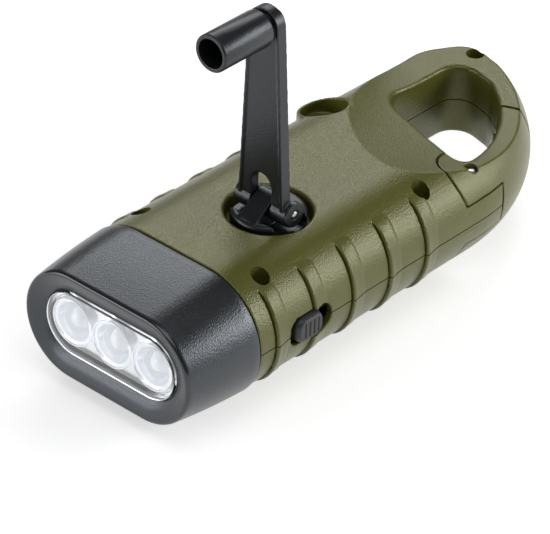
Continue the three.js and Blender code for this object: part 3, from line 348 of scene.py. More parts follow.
# one moulded, turned or cast finish: base and shade drift, edges lighten, roughness varies, grain bumps
def finish(name, look):
    look = {**plain, "edge": look["base"], **look}
    material = bpy.data.materials.new(name)
    material.use_nodes = True
    tree = material.node_tree
    shader = tree.nodes["Principled BSDF"]
    link = tree.links.new
    values = {"Grain": look["grain"], "Drift": look["drift"]}
    grain = node(tree, "ShaderNodeGroup", values, node_tree=grainGroup)
    edges = node(tree, "ShaderNodeGroup", {"Reach": look["reach"]}, node_tree=edgeGroup)
    drifting = blendColours(tree, grain.outputs["Tone"], look["shade"], look["base"])
    worn = blendColours(tree, edges.outputs["Edge"], drifting, look["edge"])
    link(worn, shader.inputs["Base Color"])
    rough = node(tree, "ShaderNodeMapRange", {"To Min": look["rough"][0], "To Max": look["rough"][1]})
    link(grain.outputs["Tone"], rough.inputs["Value"])
    link(rough.outputs["Result"], shader.inputs["Roughness"])
    bump = node(tree, "ShaderNodeBump", {"Strength": look["bump"], "Distance": look["depth"]})
    link(grain.outputs["Height"], bump.inputs["Height"])
    link(bump.outputs["Normal"], shader.inputs["Normal"])
    for label, key in sockets.items():
        shader.inputs[label].default_value = look[key]
    shader.inputs["Specular Tint"].default_value = (*look["tint"], 1)
    shader.inputs["Emission Color"].default_value = (*look["glow"], 1)
    return material


looks = dict(
    olive=dict(base=(0.102, 0.102, 0.016), shade=(0.091, 0.091, 0.013), edge=(0.16, 0.16, 0.05),
               rough=(0.26, 0.32), grain=2800, drift=35, bump=0.7, depth=0.000075, specular=0.72,
               tint=(1.0, 1.0, 0.74), reach=0.56),
    cap=dict(base=(0.013, 0.0145, 0.0155), shade=(0.010, 0.0115, 0.0125), edge=(0.03, 0.032, 0.036),
             rough=(0.25, 0.31), grain=2700, drift=40, bump=0.55, depth=0.000072, specular=0.9,
             tint=(0.86, 0.92, 1.0)),
    gloss=dict(base=(0.010, 0.011, 0.012), shade=(0.007, 0.008, 0.009), edge=(0.025, 0.026, 0.028),
               rough=(0.27, 0.37), grain=2400, drift=90, bump=0.45, depth=0.00005, specular=0.56,
               tint=(0.87, 0.93, 1.0)),
    thumb=dict(base=(0.045, 0.046, 0.05), shade=(0.036, 0.037, 0.04), edge=(0.09, 0.09, 0.1),
               rough=(0.4, 0.5), grain=2600, drift=150, bump=0.2),
    # the chrome reflector glows faintly though it is no lamp: painted light that whitens its reflections
    chromePaintedGlow=dict(base=(0.80, 0.81, 0.83), shade=(0.72, 0.73, 0.76), rough=(0.16, 0.24), metal=1.0,
                grain=700, drift=120, bump=0.02, glow=(0.93, 0.96, 1.0), glowStrength=0.2),
    lamp=dict(base=(0.62, 0.63, 0.66), shade=(0.5, 0.51, 0.54), rough=(0.06, 0.1), grain=400,
              drift=300, bump=0.02, glow=(0.93, 0.97, 1.0), glowStrength=0.28),
    steel=dict(base=(0.56, 0.57, 0.58), shade=(0.48, 0.49, 0.5), rough=(0.22, 0.34), metal=1.0,
               grain=1500, drift=400, bump=0.08),
    brass=dict(base=(0.62, 0.47, 0.2), shade=(0.54, 0.4, 0.16), rough=(0.25, 0.36), metal=1.0,
               grain=1500, drift=400, bump=0.08),
    copper=dict(base=(0.52, 0.21, 0.1), shade=(0.42, 0.16, 0.07), rough=(0.3, 0.4), metal=1.0,
                grain=2600, drift=500, bump=0.3),
    ferrite=dict(base=(0.06, 0.06, 0.065), shade=(0.045, 0.045, 0.05), rough=(0.5, 0.65), grain=3000,
                 drift=300, bump=0.4),
    nylon=dict(base=(0.8, 0.77, 0.69), shade=(0.74, 0.71, 0.62), rough=(0.4, 0.5), grain=1800,
               drift=150, bump=0.1),
    board=dict(base=(0.035, 0.15, 0.06), shade=(0.028, 0.12, 0.048), rough=(0.3, 0.4), grain=1200,
               drift=300, bump=0.1, coat=0.3),
    clearLens=dict(base=(1.0, 1.0, 1.0), shade=(0.97, 0.98, 0.985), rough=(0.0, 0.02), grain=300,
                   drift=60, bump=0.0, ior=1.46, clear=1.0),
    solarWindow=dict(base=(0.46, 0.27, 0.19), shade=(0.40, 0.23, 0.16), rough=(0.16, 0.24), grain=1400,
                     drift=60, bump=0.03, coat=0.6),
)
mats = {name: finish(name, look) for name, look in looks.items()}
mats["headBlack"] = finish("headBlack", looks["cap"])


# the clear lens casts no shadow
def openLens(material):
    tree = material.node_tree
    path = node(tree, "ShaderNodeLightPath")
    seen = node(tree, "ShaderNodeMath", {0: 1.0}, operation="SUBTRACT")
    tree.links.new(path.outputs["Is Shadow Ray"], seen.inputs[1])
    tree.links.new(seen.outputs[0], tree.nodes["Principled BSDF"].inputs["Alpha"])


cellLines = {"pitch": 390.0, "sharp": 0.9, "colour": (0.62, 0.45, 0.36)}


def lineCell(material):
    tree = material.node_tree
    colour = tree.nodes["Principled BSDF"].inputs["Base Color"]
    spot = node(tree, "ShaderNodeTexCoord")
    wave = node(tree, "ShaderNodeTexWave", {"Scale": cellLines["pitch"]}, bands_direction="X")
    sharp = node(tree, "ShaderNodeMapRange", {"From Min": cellLines["sharp"]})
    tree.links.new(spot.outputs["Object"], wave.inputs["Vector"])
    tree.links.new(wave.outputs["Fac"], sharp.inputs["Value"])
    before = colour.links[0].from_socket
    tree.links.new(blendColours(tree, sharp.outputs["Result"], before, cellLines["colour"]), colour)


# the turned-in front of the head is polished smooth, the rest stays grained
polish = {"start": -0.0702, "full": -0.0708, "rough": 0.2}


def polishRim(material):
    tree = material.node_tree
    link = tree.links.new
    shader = tree.nodes["Principled BSDF"]
    spot = node(tree, "ShaderNodeTexCoord")
    split = node(tree, "ShaderNodeSeparateXYZ")
    front = node(tree, "ShaderNodeMapRange", {"From Min": polish["start"], "From Max": polish["full"]})
    link(spot.outputs["Object"], split.inputs[0])
    link(split.outputs["X"], front.inputs["Value"])
    rough = node(tree, "ShaderNodeMix", {3: polish["rough"]}, data_type="FLOAT")
    link(shader.inputs["Roughness"].links[0].from_socket, rough.inputs[2])
    link(front.outputs["Result"], rough.inputs[0])
    link(rough.outputs[0], shader.inputs["Roughness"])
    strength = shader.inputs["Normal"].links[0].from_node.inputs["Strength"]
    full = strength.default_value
    calm = node(tree, "ShaderNodeMath", {1: -full, 2: full}, operation="MULTIPLY_ADD")
    link(front.outputs["Result"], calm.inputs[0])
    link(calm.outputs[0], strength)


openLens(mats["clearLens"])
lineCell(mats["solarWindow"])
polishRim(mats["headBlack"])
print("finishes made:", len(mats))


# Body

body = dict(
    length=143.0, halfWidth=25.6, halfThick=15.24, front=21.55, wall=1.8, seam=0.14, tailRadius=15.5,
    tailHalf=9.2, gateArcX=96.0, tailFull=0.48, bulgeTurn=22.0, bulgeReach=34.0, waist=0.45, waistX=117.0,
    waistReach=27.0, waistFrom=8.0, waistFade=8.0, dishFront=80.0, dishEnd=126.0, dishTurnY=-10.0,
    dishSweep=20.0, dishFall=2.3, dishSpread=1.4, voxel=0.3, rounds=3, faces=300000, innerRatio=0.06,
)
tailCentre = (body["length"] - body["tailRadius"], body["halfWidth"] - body["tailRadius"])
arcRun = tailCentre[0] - body["gateArcX"]
arcSpan = body["halfWidth"] + tailCentre[1]
arcRadius = arcRun ** 2 + arcSpan ** 2 - body["tailRadius"] ** 2
arcRadius /= 2 * (arcSpan - body["tailRadius"])
arcCentre = (body["gateArcX"], arcRadius - body["halfWidth"])
arcEnd = math.atan2(tailCentre[1] - arcCentre[1], arcRun)


def planOutline(start, inset, arcCount=36, spineCount=12):
    side = body["halfWidth"] - inset
    gateSide = arc(arcCentre, arcRadius - inset, -math.pi / 2, arcEnd, arcCount)
    nose = arc(tailCentre, body["tailRadius"] - inset, arcEnd, math.pi / 2, arcCount)[1:]
    spine = [(body["gateArcX"] + arcRun * i / spineCount, side) for i in range(spineCount - 1, -1, -1)]
    return [(start, -side), *gateSide, *nose, *spine, (start, side)]


def eased(share):
    share = min(1, max(0, share))
    return share * share * (3 - 2 * share)


# the spine side draws in a little beside the ring
def waisted(x, y):
    share = eased(1 - abs(x - body["waistX"]) / body["waistReach"])
    share *= eased((y - body["waistFrom"]) / body["waistFade"])
    return y - body["waist"] * share


# the tail stays fuller round its screw than along the rest of the side
def pillow(name, start, skin, count=20):
    radius = body["halfThick"] - skin
    rings = []
    for i in range(-count, count + 1):
        angle = math.pi / 2 * i / count
        inset = radius * (1 - math.cos(angle))
        near, full = planOutline(start, skin + inset), planOutline(start, skin + inset * body["tailFull"])
        ring = []
        for (x, y), (fullX, fullY) in zip(near, full):
            turn = math.degrees(math.atan2(y - tailCentre[1], x - tailCentre[0]))
            share = eased(1 - abs(turn - body["bulgeTurn"]) / body["bulgeReach"])
            x, y = x + (fullX - x) * share, y + (fullY - y) * share
            ring.append((x, waisted(x, y), radius * math.sin(angle)))
        rings.append(ring)
    return loft(name, rings)


# the low field round the ring, which falls away from the raised face along a sweeping line
def dish(name, face, skin, count=40, fallCount=30):
    margin, past, above = 3, 150, 24
    top, low = body["halfThick"], body["tailHalf"]
    rings = []
    for i in range(-count, count + 1):
        y = (body["halfWidth"] + margin) * i / count
        start = body["dishFront"] + max(y - body["dishTurnY"], 0) ** 2 / (2 * body["dishSweep"])
        run = body["dishEnd"] - start
        slope = (top - low) * body["dishFall"] / run
        line = [(start - margin - skin, top + slope * margin - skin)]
        for j in range(fallCount + 1):
            share = (j / fallCount) ** body["dishSpread"]
            z = low + (top - low) * (1 - share) ** body["dishFall"]
            line.append((start + run * share - skin, z - skin))
        line += [(past, low - skin), (past, above), (start - margin - skin, above)]
        rings.append([(x, y, face * z) for x, z in line])
    return loft(name, rings)


# Carabiner ring

ring = dict(
    gateBand=7.8, spineBand=12.2, tailBand=8.4, front=97.2, rake=9.4, frontCorner=2.4, spineCorner=8.0,
    tailCorner=5.2, softRounds=26, softReach=3.4, softFrom=92,
)


def ringOutline():
    radius = arcRadius - ring["gateBand"]
    spine = body["halfWidth"] - ring["spineBand"]
    tail = body["length"] - ring["tailBand"]
    rim = [p for p in arc(arcCentre, radius, arcEnd, -math.pi / 2, 40)
           if ring["front"] + ring["frontCorner"] < p[0] < tail - ring["tailCorner"] / 2]
    return rounded([
        ((ring["front"], arcCentre[1] - radius), ring["frontCorner"]),
        ((ring["front"] + ring["rake"], spine), ring["spineCorner"]),
        ((tail, spine), ring["tailCorner"]),
        *[(p, 0) for p in rim],
    ])


# Ribs: steep towards the head, easy towards the tail, fading round the side

ribs = dict(
    count=5, first=26.2, pitch=12.5, length=4.3, proud=0.75, span=54.0, root=-1.2, crest=0.75, middle=2.2,
    tailLow=0.12, tailGrow=0.55, tailSink=0.05, endFrom=0.9, endRun=0.1, endShrink=0.5, groove=0.42,
    grooveDepth=0.5, grooveFade=0.08, grooveShort=2,
)


def sidePoint(x, side, radius, angle):
    flat = body["halfWidth"] - body["halfThick"]
    return (x, side * (flat + radius * math.cos(angle)), radius * math.sin(angle))


def rib(name, x, side, count=28):
    rings = []
    end = x + ribs["length"]
    for i in range(-count, count + 1):
        turn = i / count
        rise = ribs["proud"] * (1 - turn ** 6)
        tail = (ribs["tailLow"] + ribs["tailGrow"] * turn ** 2) * (1 - turn ** 8) - ribs["tailSink"]
        tail = min(tail, rise)
        shrink = ribs["endShrink"] * max(abs(turn) - ribs["endFrom"], 0) / ribs["endRun"]
        section = [(x + shrink * 1.2, ribs["root"]), (end - shrink, ribs["root"]),
                   (end - 0.1 - shrink, tail), (x + ribs["middle"], 0.45 * rise + 0.5 * tail),
                   (x + ribs["crest"] + shrink, rise), (x + 0.3 + shrink * 1.2, rise * 0.97)]
        rings.append([sidePoint(a, side, body["halfThick"] + up, math.radians(ribs["span"]) * turn)
                      for a, up in section])
    return loft(name, rings)


def ribGroove(name, x, side, count=28):
    rings = []
    left, right = x - ribs["groove"] * 0.5, x + ribs["groove"] * 0.5
    for i in range(-count, count + 1):
        turn = i / count
        depth = ribs["grooveDepth"] * min(1, (1 - abs(turn)) / ribs["grooveFade"])
        low, high = body["halfThick"] - depth, body["halfThick"] + 2
        angle = math.radians(ribs["span"] - ribs["grooveShort"]) * turn
        rings.append([sidePoint(a, side, radius, angle)
                      for a, radius in ((left, high), (left, low), (right, low), (right, high))])
    return loft(name, rings)


# Holes in the crank face, and the room inside the body

holes = dict(
    screws=[(29.3, 17.6), (29.3, -17.6), (81.1, -19.2), (138.9, 12.4)], screwRadius=2.2, screwSeat=3.0,
    bossWall=1.4, recess=(47.7, -3.5), recessRadius=9.8, recessFloor=11.0, recessEdge=0.75, cupWall=1.4,
    cupLow=9.8, shaftRadius=3.15, pocket=(90.4, 17.6), pocketRadius=5.5, pocketRim=13.4, pocketTilt=19.0,
    pocketMouth=8.5, pocketBore=(89.66, 17.23), collarWall=0.8, boreRadius=4.7, boreFloor=-4.0,
    wellWall=0.9, wellLow=-5.2, roomEnd=86,
)
switch = dict(
    slot=(31.2, 44.6), slotHalf=3.5, slotCorner=3.15, slotDepth=-22.4, thumb=(32.9, 41.2), thumbHalf=3.0,
    thumbCorner=2.3, face=-26.35, under=-22.1, middle=37.4,
    edge=((0, 0.8), (0.15, 0.88), (0.6, 0.96), (1.1, 1.0)), grooves=4, groovePitch=1.4, grooveFrom=2.3,
    grooveHalf=0.27, grooveDepth=0.28, grooveReach=1.9, flange=(30.5, 43.5, -22.9, -22.1, -4.1, 4.1),
    voxel=0.1, rounds=2, faces=60000,
)
solar = dict(
    frame=(27.3, 71.1), frameHalf=16, frameCorner=3.0, bow=2.0, pocket=-12.79, gap=0.15,
    edge=((-1.0, -16.44), (-0.75, -16.40), (-0.12, -15.8), (0, -15.4), (0, -12.94)), window=(32.0, 68.5),
    windowHalf=11.0, corner=2, sill=1.95, sillLevel=-14.94,
    slope=((2.2, -18), (1.6, -16.44), (0.9, -16.1), (0.0, -14.94), (0.0, -14.8)), cell=(30.2, 70.3),
    cellHalf=12.8, cellLevels=(-14.79, -13.19), cellEdge=0.2,
)


def pocketCollar():
    x, y = holes["pocket"]
    collar = rod("collar", "z", (x, y), holes["pocketRadius"] + holes["collarWall"], 0, body["halfThick"])
    above = brick("above", -through, through, -through, through, 0, through)
    above.rotation_euler = (-math.radians(holes["pocketTilt"]), 0, 0)
    above.location = (x, y, holes["pocketRim"])
    take(above)
    bpy.ops.object.transform_apply(location=True, rotation=True, scale=True)
    return combine(collar, [above])


def switchOutline():
    return roundedBox(*switch["slot"], switch["slotHalf"], switch["slotCorner"])


# the frame's outline, with its tail side bowed
def solarOutline(grow):
    half = solar["frameHalf"] + grow
    x0, x1 = solar["frame"][0] - grow, solar["frame"][1] + grow
    corners = ((x1, half), (x0, half), (x0, -half), (x1, -half))
    shares = (-0.6, -0.4, -0.2, 0, 0.2, 0.4, 0.6)
    bow = [(x1 + solar["bow"] * (1 - share ** 2), half * share) for share in shares]
    return rounded([(corner, solar["frameCorner"]) for corner in corners]) + bow


def hollow():
    room = pillow("hollow", body["front"] - 1, body["wall"], 12)
    combine(room, [dish("dishIn", 1, body["wall"], 16), dish("dishOut", -1, body["wall"], 16),
                   brick("tailEnd", holes["roomEnd"], 150, -30, 30, -through, through)])
    cup, well = holes["recessRadius"] + holes["cupWall"], holes["boreRadius"] + holes["wellWall"]
    boss = holes["screwRadius"] + holes["bossWall"]
    bosses = [rod("boss", "z", spot, boss, -through, through) for spot in holes["screws"][:3]]
    return combine(room, [rod("cup", "z", holes["recess"], cup, holes["cupLow"], through),
                          rod("well", "z", holes["pocketBore"], well, holes["wellLow"], through), *bosses])


# Gate: the sprung side of the ring, cut out round its pivot

gate = dict(
    pin=(97.9, -20.0), boreRadius=1.55, knuckle=7.5, reach=30.5, start=-75.0, end=60.0, gap=0.56,
    tongueHalf=4.9, tongueExtra=0.6, roomHalf=5.2, roomExtra=0.95, latchAngle=27.3, lipHalf=2.6,
    lip=((-2, -0.75), (-2, 1.1), (2.4, 1.1), (2.4, 0.3), (-0.7, 0.3), (-0.7, -0.75)), voxel=0.22,
    rounds=4, faces=110000,
    pinProfile=((1.0, -9.6), (1.3, -9.45), (1.4, -9.2), (1.4, 9.5), (1.25, 9.9), (0.8, 10.15)),
)


def gateRegion(name, grow):
    start, end = math.radians(gate["start"]), math.radians(gate["end"])
    sweep = arc(gate["pin"], gate["reach"] + grow, start, end, 48)
    wedge = slab(name, "z", [gate["pin"], *sweep], -through, through)
    knuckle = rod("knuckle", "z", gate["pin"], gate["knuckle"] + grow, -through - 1, through + 1, 96)
    return combine(wedge, [knuckle], "UNION")


# the hook that the ring's tail holds: its outline runs along the inner arc, as length and depth
def latchLip():
    tip = step(gate["pin"], gate["reach"], math.radians(gate["latchAngle"]))
    radius = arcRadius - ring["gateBand"]
    around = math.atan2(tip[1] - arcCentre[1], tip[0] - arcCentre[0])
    outline = [step(arcCentre, radius - depth, around + length / radius) for length, depth in gate["lip"]]
    return slab("latchLip", "z", outline, -gate["lipHalf"], gate["lipHalf"])


def nearHole(outline, reach):
    walls = [(Vector(a), Vector(b)) for a, b in zip(outline, outline[1:] + outline[:1])]

    def test(vert):
        if vert.co.x < ring["softFrom"]:
            return False
        spot = vert.co.xy
        for a, b in walls:
            along = b - a
            share = max(0, min(1, (spot - a).dot(along) / max(along.length_squared, 1e-9)))
            if (a + along * share - spot).length < reach:
                return True
        return False
    return test


# the skin of the hollow, which nobody sees
inner = dict(x=(23, 84), skin=1.3, hubClear=10.6, pocketClear=7.5, slotY=-20, slotX=(29, 47), slotZ=5)


def isInside(face):
    x, y, z = face.calc_center_median()
    flat = body["halfWidth"] - body["halfThick"]
    depth = abs(z) if abs(y) < flat else math.hypot(abs(y) - flat, z)
    first, last = inner["x"]
    if not first < x < last or depth > body["halfThick"] - inner["skin"]:
        return False
    hub = math.hypot(x - holes["recess"][0], y - holes["recess"][1])
    pocket = math.hypot(x - holes["pocketBore"][0], y - holes["pocketBore"][1])
    if z > 0 and (hub < inner["hubClear"] or pocket < inner["pocketClear"]):
        return False
    first, last = inner["slotX"]
    return not (y < inner["slotY"] and first < x < last and abs(z) < inner["slotZ"])


def makeBody():
    form = pillow("bodyForm", body["front"], 0)
    combine(form, [dish("dishTop", 1, 0), dish("dishBottom", -1, 0)])
    combine(form, [pocketCollar()], "UNION")
    spots = [(ribs["first"] + ribs["pitch"] * i, side) for i in range(ribs["count"]) for side in (1, -1)]
    combine(form, [rib("rib", x, side) for x, side in spots], "UNION")
    outline = ringOutline()
    combine(form, [slab("ringHole", "z", outline, -through, through)])
    edge, radius, top = holes["recessEdge"], holes["recessRadius"], body["halfThick"]
    profile = [(radius, holes["recessFloor"]), (radius, top - edge),
               (radius + edge * 0.3, top - edge * 0.35), (radius + edge, top),
               (radius + edge * 4, top + edge * 3)]
    combine(form, [turned("recess", "z", holes["recess"], profile, 96)])
    mouth, bore = holes["pocketMouth"], holes["boreFloor"]
    combine(form, [rod("pocketMouth", "z", holes["pocket"], holes["pocketRadius"], mouth, through),
                   rod("pocketBore", "z", holes["pocketBore"], holes["boreRadius"], bore, through)])
    combine(form, [slab("switchSlot", "y", switchOutline(), -30, switch["slotDepth"])])
    combine(form, [slab("solarPocket", "z", solarOutline(solar["gap"]), -through, solar["pocket"])])
    combine(form, [hollow()])
    combine(form, [rod("shaftHole", "z", holes["recess"], holes["shaftRadius"], 5, 15)])
    print("body form cut")
    moulded(form, body["voxel"], body["rounds"])
    choose(form, nearHole(outline, ring["softReach"]), "VERT")
    bpy.ops.mesh.vertices_smooth(factor=0.5, repeat=int(ring["softRounds"] / fine))
    choose(form, isInside)
    bpy.ops.mesh.decimate(ratio=body["innerRatio"])
    clearAll()
    form.data.calc_loop_triangles()
    faces = len(form.data.loop_triangles)
    modify(form, "DECIMATE", ratio=min(1, body["faces"] / fine / faces))
    print("body skin:", faces, "to", len(form.data.polygons))
    combine(form, [ribGroove("ribGroove", x, side) for x, side in spots])
    for spot in holes["screws"]:
        combine(form, [rod("screwHole", "z", spot, holes["screwRadius"], holes["screwSeat"], 22, 48)])
    return form


def splitBody(form):
    pin, room, tongueHalf = gate["pin"], gate["roomHalf"], gate["tongueHalf"]
    leaf = copyOf(form, "sprungGate")
    combine(leaf, [gateRegion("gateArea", 0)], "INTERSECT")
    combine(leaf, [rod("tongueRoom", "z", pin, gate["knuckle"] + gate["roomExtra"], -room, room, 96)])
    combine(leaf, [latchLip()], "UNION")
    tongue = copyOf(form, "tongue")
    disc = rod("tongueDisc", "z", pin, gate["knuckle"] + gate["tongueExtra"], -tongueHalf, tongueHalf, 96)
    combine(tongue, [disc], "INTERSECT")
    combine(form, [gateRegion("gateArea", gate["gap"])])
    combine(form, [tongue], "UNION")
    for obj in (leaf, form):
        combine(obj, [rod("pinBore", "z", pin, gate["boreRadius"], -through, through, 32)])
    upper = copyOf(form, "crankSideShell")
    combine(upper, [brick("lowerHalf", -10, 160, -40, 40, -40, body["seam"])])
    form.name = "solarSideShell"
    combine(form, [brick("upperHalf", -10, 160, -40, 40, -body["seam"], 40)])
    return upper, form, leaf


upperShell, lowerShell, gateLeaf = splitBody(makeBody())
moulded(gateLeaf, gate["voxel"], gate["rounds"], gate["faces"])
for obj, rides, stands in ((upperShell, "housing", "top_shell"), (lowerShell, "housing", "bottom_shell"),
                           (gateLeaf, "gate", "carabiner_gate")):
    settle(smooth(obj, 32), "olive", [stands], rides)
    print(obj.name, len(obj.data.polygons))


# Head: its edges are pairs of a distance along it and an inset

head = dict(
    frontWidth=24.2, frontThick=13.24, rearWidth=26.0, rearThick=15.5, length=21.0, bulge=0.25,
    openingWidth=19.1, openingThick=7.9, rimDepth=1.8, rimEdge=0.1, seat=2.4, seatSize=(22.6, 11.8),
    insideSize=(24.5, 14.0), rearEdge=((0, 0.9), (0, 0.35), (0.12, 0.1), (0.4, 0)),
    sides=(0.9, 0.75, 0.6, 0.45, 0.3, 0.15, 0.06),
    frontEdge=((0.7, 0), (0.3, 0.1), (0.08, 0.3), (0, 0.6), (0.04, 0.95)), funnelInset=1.15,
    funnelStart=0.16, funnelCurve=1.25, funnel=(0.06, 0.25, 0.5, 0.75, 0.94),
)


def capStation(x, inset=0.0):
    share = x / head["length"]
    bulge = head["bulge"] * math.sin(math.pi * share)
    width = head["frontWidth"] + (head["rearWidth"] - head["frontWidth"]) * share - inset + bulge
    thick = head["frontThick"] + (head["rearThick"] - head["frontThick"]) * share - inset + bulge
    return (x, width, thick)


def makeCap():
    end, seat, start = head["length"], head["seat"], head["funnelStart"]
    stations = [capStation(end - back, inset) for back, inset in head["rearEdge"]]
    stations += [capStation(end * share) for share in head["sides"]]
    stations += [capStation(x, inset) for x, inset in head["frontEdge"]]
    width, thick = head["frontWidth"] - head["funnelInset"], head["frontThick"] - head["funnelInset"]
    for share in head["funnel"]:
        stations.append((start + (head["rimDepth"] - start) * share ** head["funnelCurve"],
                         width + (head["openingWidth"] - width) * share,
                         thick + (head["openingThick"] - thick) * share))
    opening = (head["openingWidth"], head["openingThick"])
    stations += [(head["rimDepth"] + head["rimEdge"], *opening), (seat, *opening),
                 (seat, *head["seatSize"]), (end, *head["insideSize"]), stations[0]]
    return smooth(stadiumLoft("headCap", stations, ends=False, count=40), 40)


lens = dict(
    slack=0.05, back=3.4, seat=2.5, size=(22.0, 10.9), wall=0.9, inside=(1.95, 5),
    face=((2.5, 0), (1.5, 0), (1.3, 0.06), (1.2, 0.2), (1.1, 3), (1.06, 5)),
)


def makeLens():
    width, thick = head["openingWidth"] - lens["slack"], head["openingThick"] - lens["slack"]
    flange = [(x, *lens["size"]) for x in (lens["back"], lens["seat"])]
    face = [(x, width - inset, thick - inset) for x, inset in lens["face"]]
    inside = [(x, width - lens["wall"], thick - lens["wall"]) for x in lens["inside"]]
    cover = stadiumLoft("clearCover", flange + face, count=32)
    return smooth(combine(cover, [stadiumLoft("lensInside", inside, count=32)]))


# a cup's edge is pairs of growth and depth, and a lamp's back is pairs of radius and place
lamp = dict(
    pitch=11.8, cupRadius=5.65, front=2.25, depth=5.8, plate=(3.6, 4.4), cupHole=0.3,
    cupEdge=((0.2, 0.1), (0.1, 0), (-0.15, 0), (-0.25, 0.1), (-0.3, 0.45), (-0.75, 0.5),
             (-0.85, 0.4), (-1.0, 0.45), (-1.05, 0.9)),
    bowlStart=0.9, bowlLess=3.75, neck=2.7, neckOuter=3.3, ripple=0.07, ripplePace=20,
    outside=(0.15, 3.0), ledRadius=2.5, ledFront=0.9, ledTip=0.05,
    ledBack=((2.65, 10.4), (2.65, 9.6), (2.6, 9.5), (2.5, 9.45)),
)


def makeCup(number, y, count=15):
    x0, outer, neck, start = lamp["front"], lamp["cupRadius"], lamp["neck"], lamp["bowlStart"]
    profile = [(outer + lamp["cupEdge"][0][0], lamp["plate"][0])]
    profile += [(outer + grow, x0 + x) for grow, x in lamp["cupEdge"]]
    for share in [i / count for i in range(1, count)]:
        ripple = lamp["ripple"] * math.sin(share * lamp["ripplePace"])
        profile.append((neck + (outer - lamp["bowlLess"]) * math.sqrt(1 - share) + ripple,
                        x0 + start + (lamp["depth"] - start) * share))
    profile += [(neck, x0 + lamp["depth"]), (lamp["neckOuter"], x0 + lamp["depth"]),
                (outer + lamp["outside"][0], x0 + lamp["outside"][1])]
    return smooth(turned("lampCup%d" % number, "x", (y, 0), profile, 64, closed=True), 40)


def makeReflectorPlate():
    plate = stadiumLoft("reflectorPlate", [(x, *lens["size"]) for x in lamp["plate"]], count=32)
    radius = lamp["cupRadius"] - lamp["cupHole"]
    combine(plate, [rod("cupHole", "x", (lamp["pitch"] * i, 0), radius, 2, 6) for i in (-1, 0, 1)])
    return smooth(plate)


def makeLamp(number, y, count=12):
    radius = lamp["ledRadius"]
    tip = lamp["front"] + lamp["ledFront"] + radius
    profile = [*lamp["ledBack"], (radius, tip)]
    for angle in [math.pi / 2 * i / count for i in range(1, count)]:
        profile.append((radius * math.cos(angle), tip - radius * math.sin(angle)))
    profile.append((lamp["ledTip"], tip - radius))
    return smooth(turned("ledDome%d" % number, "x", (y, 0), profile, 40), 40)


settle(makeCap(), "headBlack", ["head_cap"])
settle(makeLens(), "clearLens", ["lens"])
settle(makeReflectorPlate(), "chromePaintedGlow", ["reflector"])
for number, i in enumerate((-1, 0, 1), 1):
    settle(makeCup(number, lamp["pitch"] * i), "chromePaintedGlow", ())
    settle(makeLamp(number, lamp["pitch"] * i), "lamp", ["led_%d" % number])
print("head made")


# Crank

crank = dict(
    spot=(47.7, -3.5), hinge=17.2, knuckle=2.6, eyeRadius=3.0, eyeInner=6.3, eyeOuter=7.7, pinBore=1.05,
    pinEnds=((0.6, 7.75), (0.85, 7.6), (0.9, 7.3)),
)
hub = dict(
    radius=8.55, top=15.8, shaft=((3.0, 8.1), (3.0, 11.3)), underEdge=((0.3, 11.3), (0, 11.6)),
    topEdge=((0, 0.8), (0.35, 0.25), (0.9, 0)), pocketX=(-5.5, 3.9), pocketY=12, pocketLow=13.3,
    fairingX=-7.6, fairingLow=0.8, fairingTurn=(0.6, 2.3), fairingBack=((-3.9, 1.0), (-5.8, -0.6)),
    fairingEnd=-7.4, voxel=0.14, rounds=3, faces=90000,
)
arm = dict(
    offset=3.0, thick=2.8, length=46.8, footHalf=6.6, topHalf=4.3, lean=1.6, panelInset=0.7, panelLow=3,
    panelDepth=0.3, foot=0.6, footRadius=2.8, footReach=7.5, bossRadius=3.3, boss=(-0.9, 1.5),
    seatRadius=2.7, seatShort=0.1, windowGap=0.3, windowLow=7, windowTop=8.8, voxel=0.145, rounds=6,
    faces=150000,
)
knob = dict(
    length=15.2, radius=4.4, wall=1.0, gap=1.2, spindle=1.75, floor=3.2, floorEdge=0.2,
    backEdge=((0.5, 0), (0.12, 0.12), (0, 0.5)),
    frontEdge=((0, 0.4), (0.05, 0.2), (0.18, 0.05), (0.3, 0)), mouth=((0.15, 0), (0.04, 0.06), (0, 0.2)),
)
knobZ = crank["hinge"] + arm["length"]


def makeHub():
    x, y = crank["spot"]
    z, eye = crank["hinge"], crank["eyeRadius"]
    top, low = hub["top"], hub["top"] - hub["fairingLow"]
    y0, y1 = y - crank["knuckle"], y + crank["knuckle"]
    left, right = x + hub["pocketX"][0], x + hub["pocketX"][1]
    profile = [*hub["shaft"], *[(hub["radius"] - inset, level) for inset, level in hub["underEdge"]],
               *[(hub["radius"] - inset, top - fall) for inset, fall in hub["topEdge"]]]
    disc = turned("crankHub", "z", (x, y), profile, 96)
    combine(disc, [brick("pocketRight", left, right, y1, y + hub["pocketY"], hub["pocketLow"], through),
                   brick("pocketLeft", left, right, y - hub["pocketY"], y0, hub["pocketLow"], through)])
    fairing = [(x + hub["fairingX"], low), (x + eye, low), (x + eye, z),
               *arc((x, z), eye, *hub["fairingTurn"], 12),
               *[(x + a, z + b) for a, b in hub["fairingBack"]], (x + hub["fairingEnd"], top)]
    combine(disc, [rod("barrel", "y", (x, z), eye, y0, y1, 48),
                   slab("fairing", "y", fairing, y0, y1)], "UNION")
    combine(disc, [rod("pinBore", "y", (x, z), crank["pinBore"], y0 - 3, y1 + 3, 24)])
    moulded(disc, hub["voxel"], hub["rounds"], hub["faces"])
    return smooth(disc, 60)


def armOutline(inset, low):
    y = crank["spot"][1]
    foot, top = arm["footHalf"] - inset, arm["topHalf"] - inset
    taper = math.asin((foot - top) / arm["length"])
    points = [(-foot, low), (foot, low), *arc((0, knobZ), top, taper, math.pi - taper, 30)]
    return [(a + y, b) for a, b in points]


